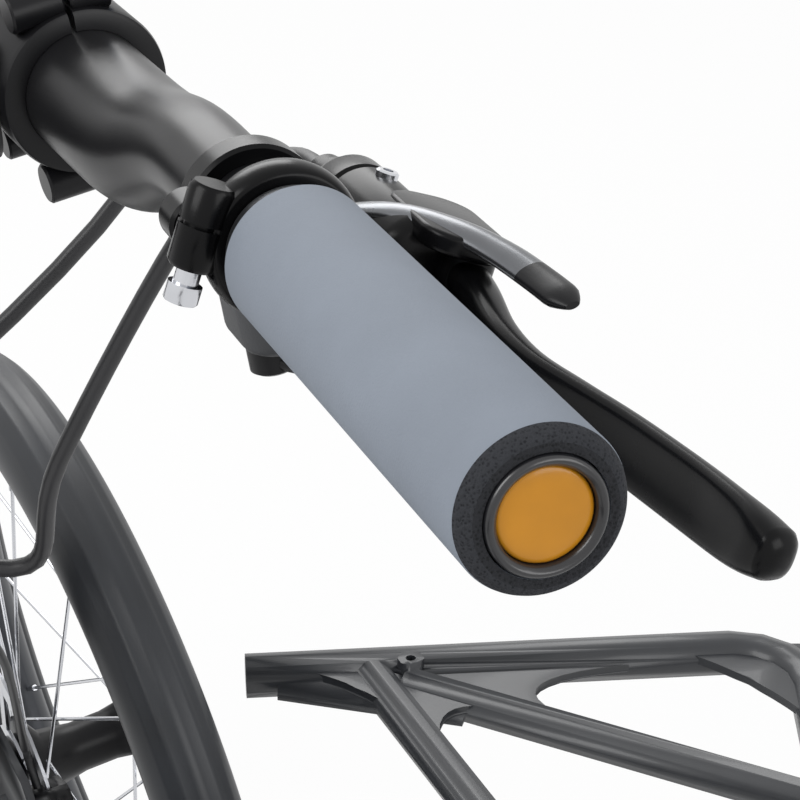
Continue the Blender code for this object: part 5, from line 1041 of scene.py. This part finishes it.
def make_spokes(prefix, centre, axis, hub_width, flange_radius):
    """Crossed spokes with their nipples, as one piece."""
    start_radius = flange_radius + SPOKE_HEAD_OUT
    end_radius = BEAD_RADIUS - TOUCH_GAP - RIM_DEPTH * 0.75
    side_way, top_way = frame_along(axis)
    edit = bmesh.new()

    def bar(near, far, radius):
        side, top = frame_along((far - near).normalized())
        add_skin(edit, [circle(point, side, top, radius, SPOKE_SIDES) for point in (near, far)])

    for index in range(SPOKE_COUNT):
        flange = 1 if index % 2 else -1
        leading = 1 if (index // 2) % 2 else -1
        rim_turn = 2 * math.pi * (index + 0.5) / SPOKE_COUNT
        hub_turn = rim_turn + leading * SPOKE_LEAD
        near = centre + axis * (flange * hub_width / 2 + leading * SPOKE_STAGGER) + (
            side_way * math.cos(hub_turn) + top_way * math.sin(hub_turn)) * start_radius
        far = centre + axis * flange * SPOKE_RIM_OFFSET + (
            side_way * math.cos(rim_turn) + top_way * math.sin(rim_turn)) * end_radius
        run = (far - near).normalized()
        bar(near, far, SPOKE_RADIUS)
        bar(far - run * NIPPLE_LENGTH, far, NIPPLE_RADIUS)
    spokes = finish_mesh(prefix + "_spokes_fine", edit, STEEL)
    put(spokes, prefix + "_wheel", "steel")


# Nodes that keep their CAD shape, with smooth copies shown for them

ROUND_ANGLE = 42.0
BELT_ANGLE = 40.0
body_names = {node: body for body, members in frame["record"]["behaviour"]["bodies"].items()
              for node in members}


def smooth_node(name, finish, slot):
    """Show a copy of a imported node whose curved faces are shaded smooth."""
    node = nodes[name]
    edit = bmesh.new()
    edit.from_mesh(node.data)
    edit.transform(node.matrix_world)
    copy = finish_mesh(name + "_smooth", edit, finish, BELT_ANGLE if name == "drive_belt" else ROUND_ANGLE)
    put(copy, body_names[name], slot, name)


def finish_nodes():
    """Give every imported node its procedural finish, and smooth those that no other piece replaces."""
    slots = {entry["node"]: entry["material_slot"] for entry in frame["record"]["subparts"]}
    for name, node in nodes.items():
        finish = DISC_STEEL if name.endswith("brake_rotor") else SLOT_FINISHES[slots[name]]
        node.data.materials.clear()
        node.data.materials.append(finish)
        if name not in shown_finely:
            smooth_node(name, finish, slots[name])


# The calls that build the bike

make_handlebar()
make_stem()
make_stem_clamp()
make_shifter()
make_saddle()
make_platform_plates()
for node, (body, points) in HOSE_ROUTES.items():
    make_hose(node, body, points)
for side, word in SIDES:
    make_grip(side, word)
    make_brake_lever(side, word)
    make_perch(side, word)
for prefix, joint, hub_width, flange in WHEELS:
    hub = Vector(joints[joint]["pos_m"])
    turn_axis = Vector(joints[joint]["axis"]).normalized()
    make_tyre(prefix, hub, turn_axis)
    make_rim(prefix, hub, turn_axis)
    make_spokes(prefix, hub, turn_axis, hub_width, flange)
finish_nodes()


# Camera, floor and light

def make_camera():
    """The photograph's view: level heading along the bike, pitched down, through a long lens."""
    data = bpy.data.cameras.new("camera")
    data.lens = CAMERA_LENS
    data.sensor_width = 36.0
    data.clip_start = 0.02
    data.clip_end = 50.0
    camera = add_object("camera", data)
    camera.location = CAMERA_PLACE
    camera.rotation_euler = (CAMERA_PITCH, 0.0, CAMERA_HEADING)
    bpy.context.scene.camera = camera


def seen_directly(tree, links):
    """A socket that is 1 for what the camera sees, straight on or by way of metal and glass, and else 0."""
    path = tree.new("ShaderNodeLightPath")
    seen = path.outputs["Is Camera Ray"]
    for ray in ("Is Glossy Ray", "Is Transmission Ray"):
        either = tree.new("ShaderNodeMath")
        either.operation = 'MAXIMUM'
        links.new(seen, either.inputs[0])
        links.new(path.outputs[ray], either.inputs[1])
        seen = either.outputs["Value"]
    return seen


def make_world():
    """Even studio light, with white behind the object."""
    world = bpy.data.worlds.new("studio")
    bpy.context.scene.world = world
    world.use_nodes = True
    tree = world.node_tree.nodes
    links = world.node_tree.links
    tree.clear()
    mix = tree.new("ShaderNodeMixShader")
    for index, strength in ((1, STUDIO_STRENGTH), (2, 1.0)):
        background = tree.new("ShaderNodeBackground")
        set_inputs(background, {"Color": WHITE, "Strength": strength})
        links.new(background.outputs["Background"], mix.inputs[index])
    links.new(seen_directly(tree, links), mix.inputs["Fac"])
    output = tree.new("ShaderNodeOutputWorld")
    links.new(mix.outputs["Shader"], output.inputs["Surface"])


def make_floor():
    """A pale floor that shows nearly white to the camera and keeps a soft shadow."""
    edit = bmesh.new()
    bmesh.ops.create_grid(edit, x_segments=1, y_segments=1, size=FLOOR_HALF)
    floor = finish_mesh("floor", edit, [])
    floor.location = (0.0, 0.0, -0.001)
    made, tree, links, shader = new_material("floor_white")
    set_inputs(shader, {"Base Color": FLOOR_TONE, "Roughness": 0.9})
    glow = tree.new("ShaderNodeEmission")
    set_inputs(glow, {"Color": WHITE})
    mix = tree.new("ShaderNodeMixShader")
    share = tree.new("ShaderNodeMath")
    share.operation = 'MULTIPLY'
    share.inputs[1].default_value = FLOOR_WHITE_SHARE
    links.new(seen_directly(tree, links), share.inputs[0])
    links.new(share.outputs["Value"], mix.inputs["Fac"])
    links.new(shader.outputs["BSDF"], mix.inputs[1])
    links.new(glow.outputs["Emission"], mix.inputs[2])
    links.new(mix.outputs["Shader"], tree["Material Output"].inputs["Surface"])
    floor.data.materials.append(made)


def make_lamp(name, place, target, size, power):
    """A soft lamp aimed at a point."""
    data = bpy.data.lights.new(name, 'AREA')
    data.shape = 'RECTANGLE'
    data.size, data.size_y = size
    data.energy = power
    lamp = add_object(name, data)
    lamp.location = place
    lamp.rotation_euler = (Vector(target) - Vector(place)).to_track_quat('-Z', 'Y').to_euler()


make_camera()
make_world()
make_floor()
for name, (place, target, size, power) in LAMPS.items():
    make_lamp(name, place, target, size, power)

view = bpy.context.scene.view_settings
view.view_transform = 'Standard'
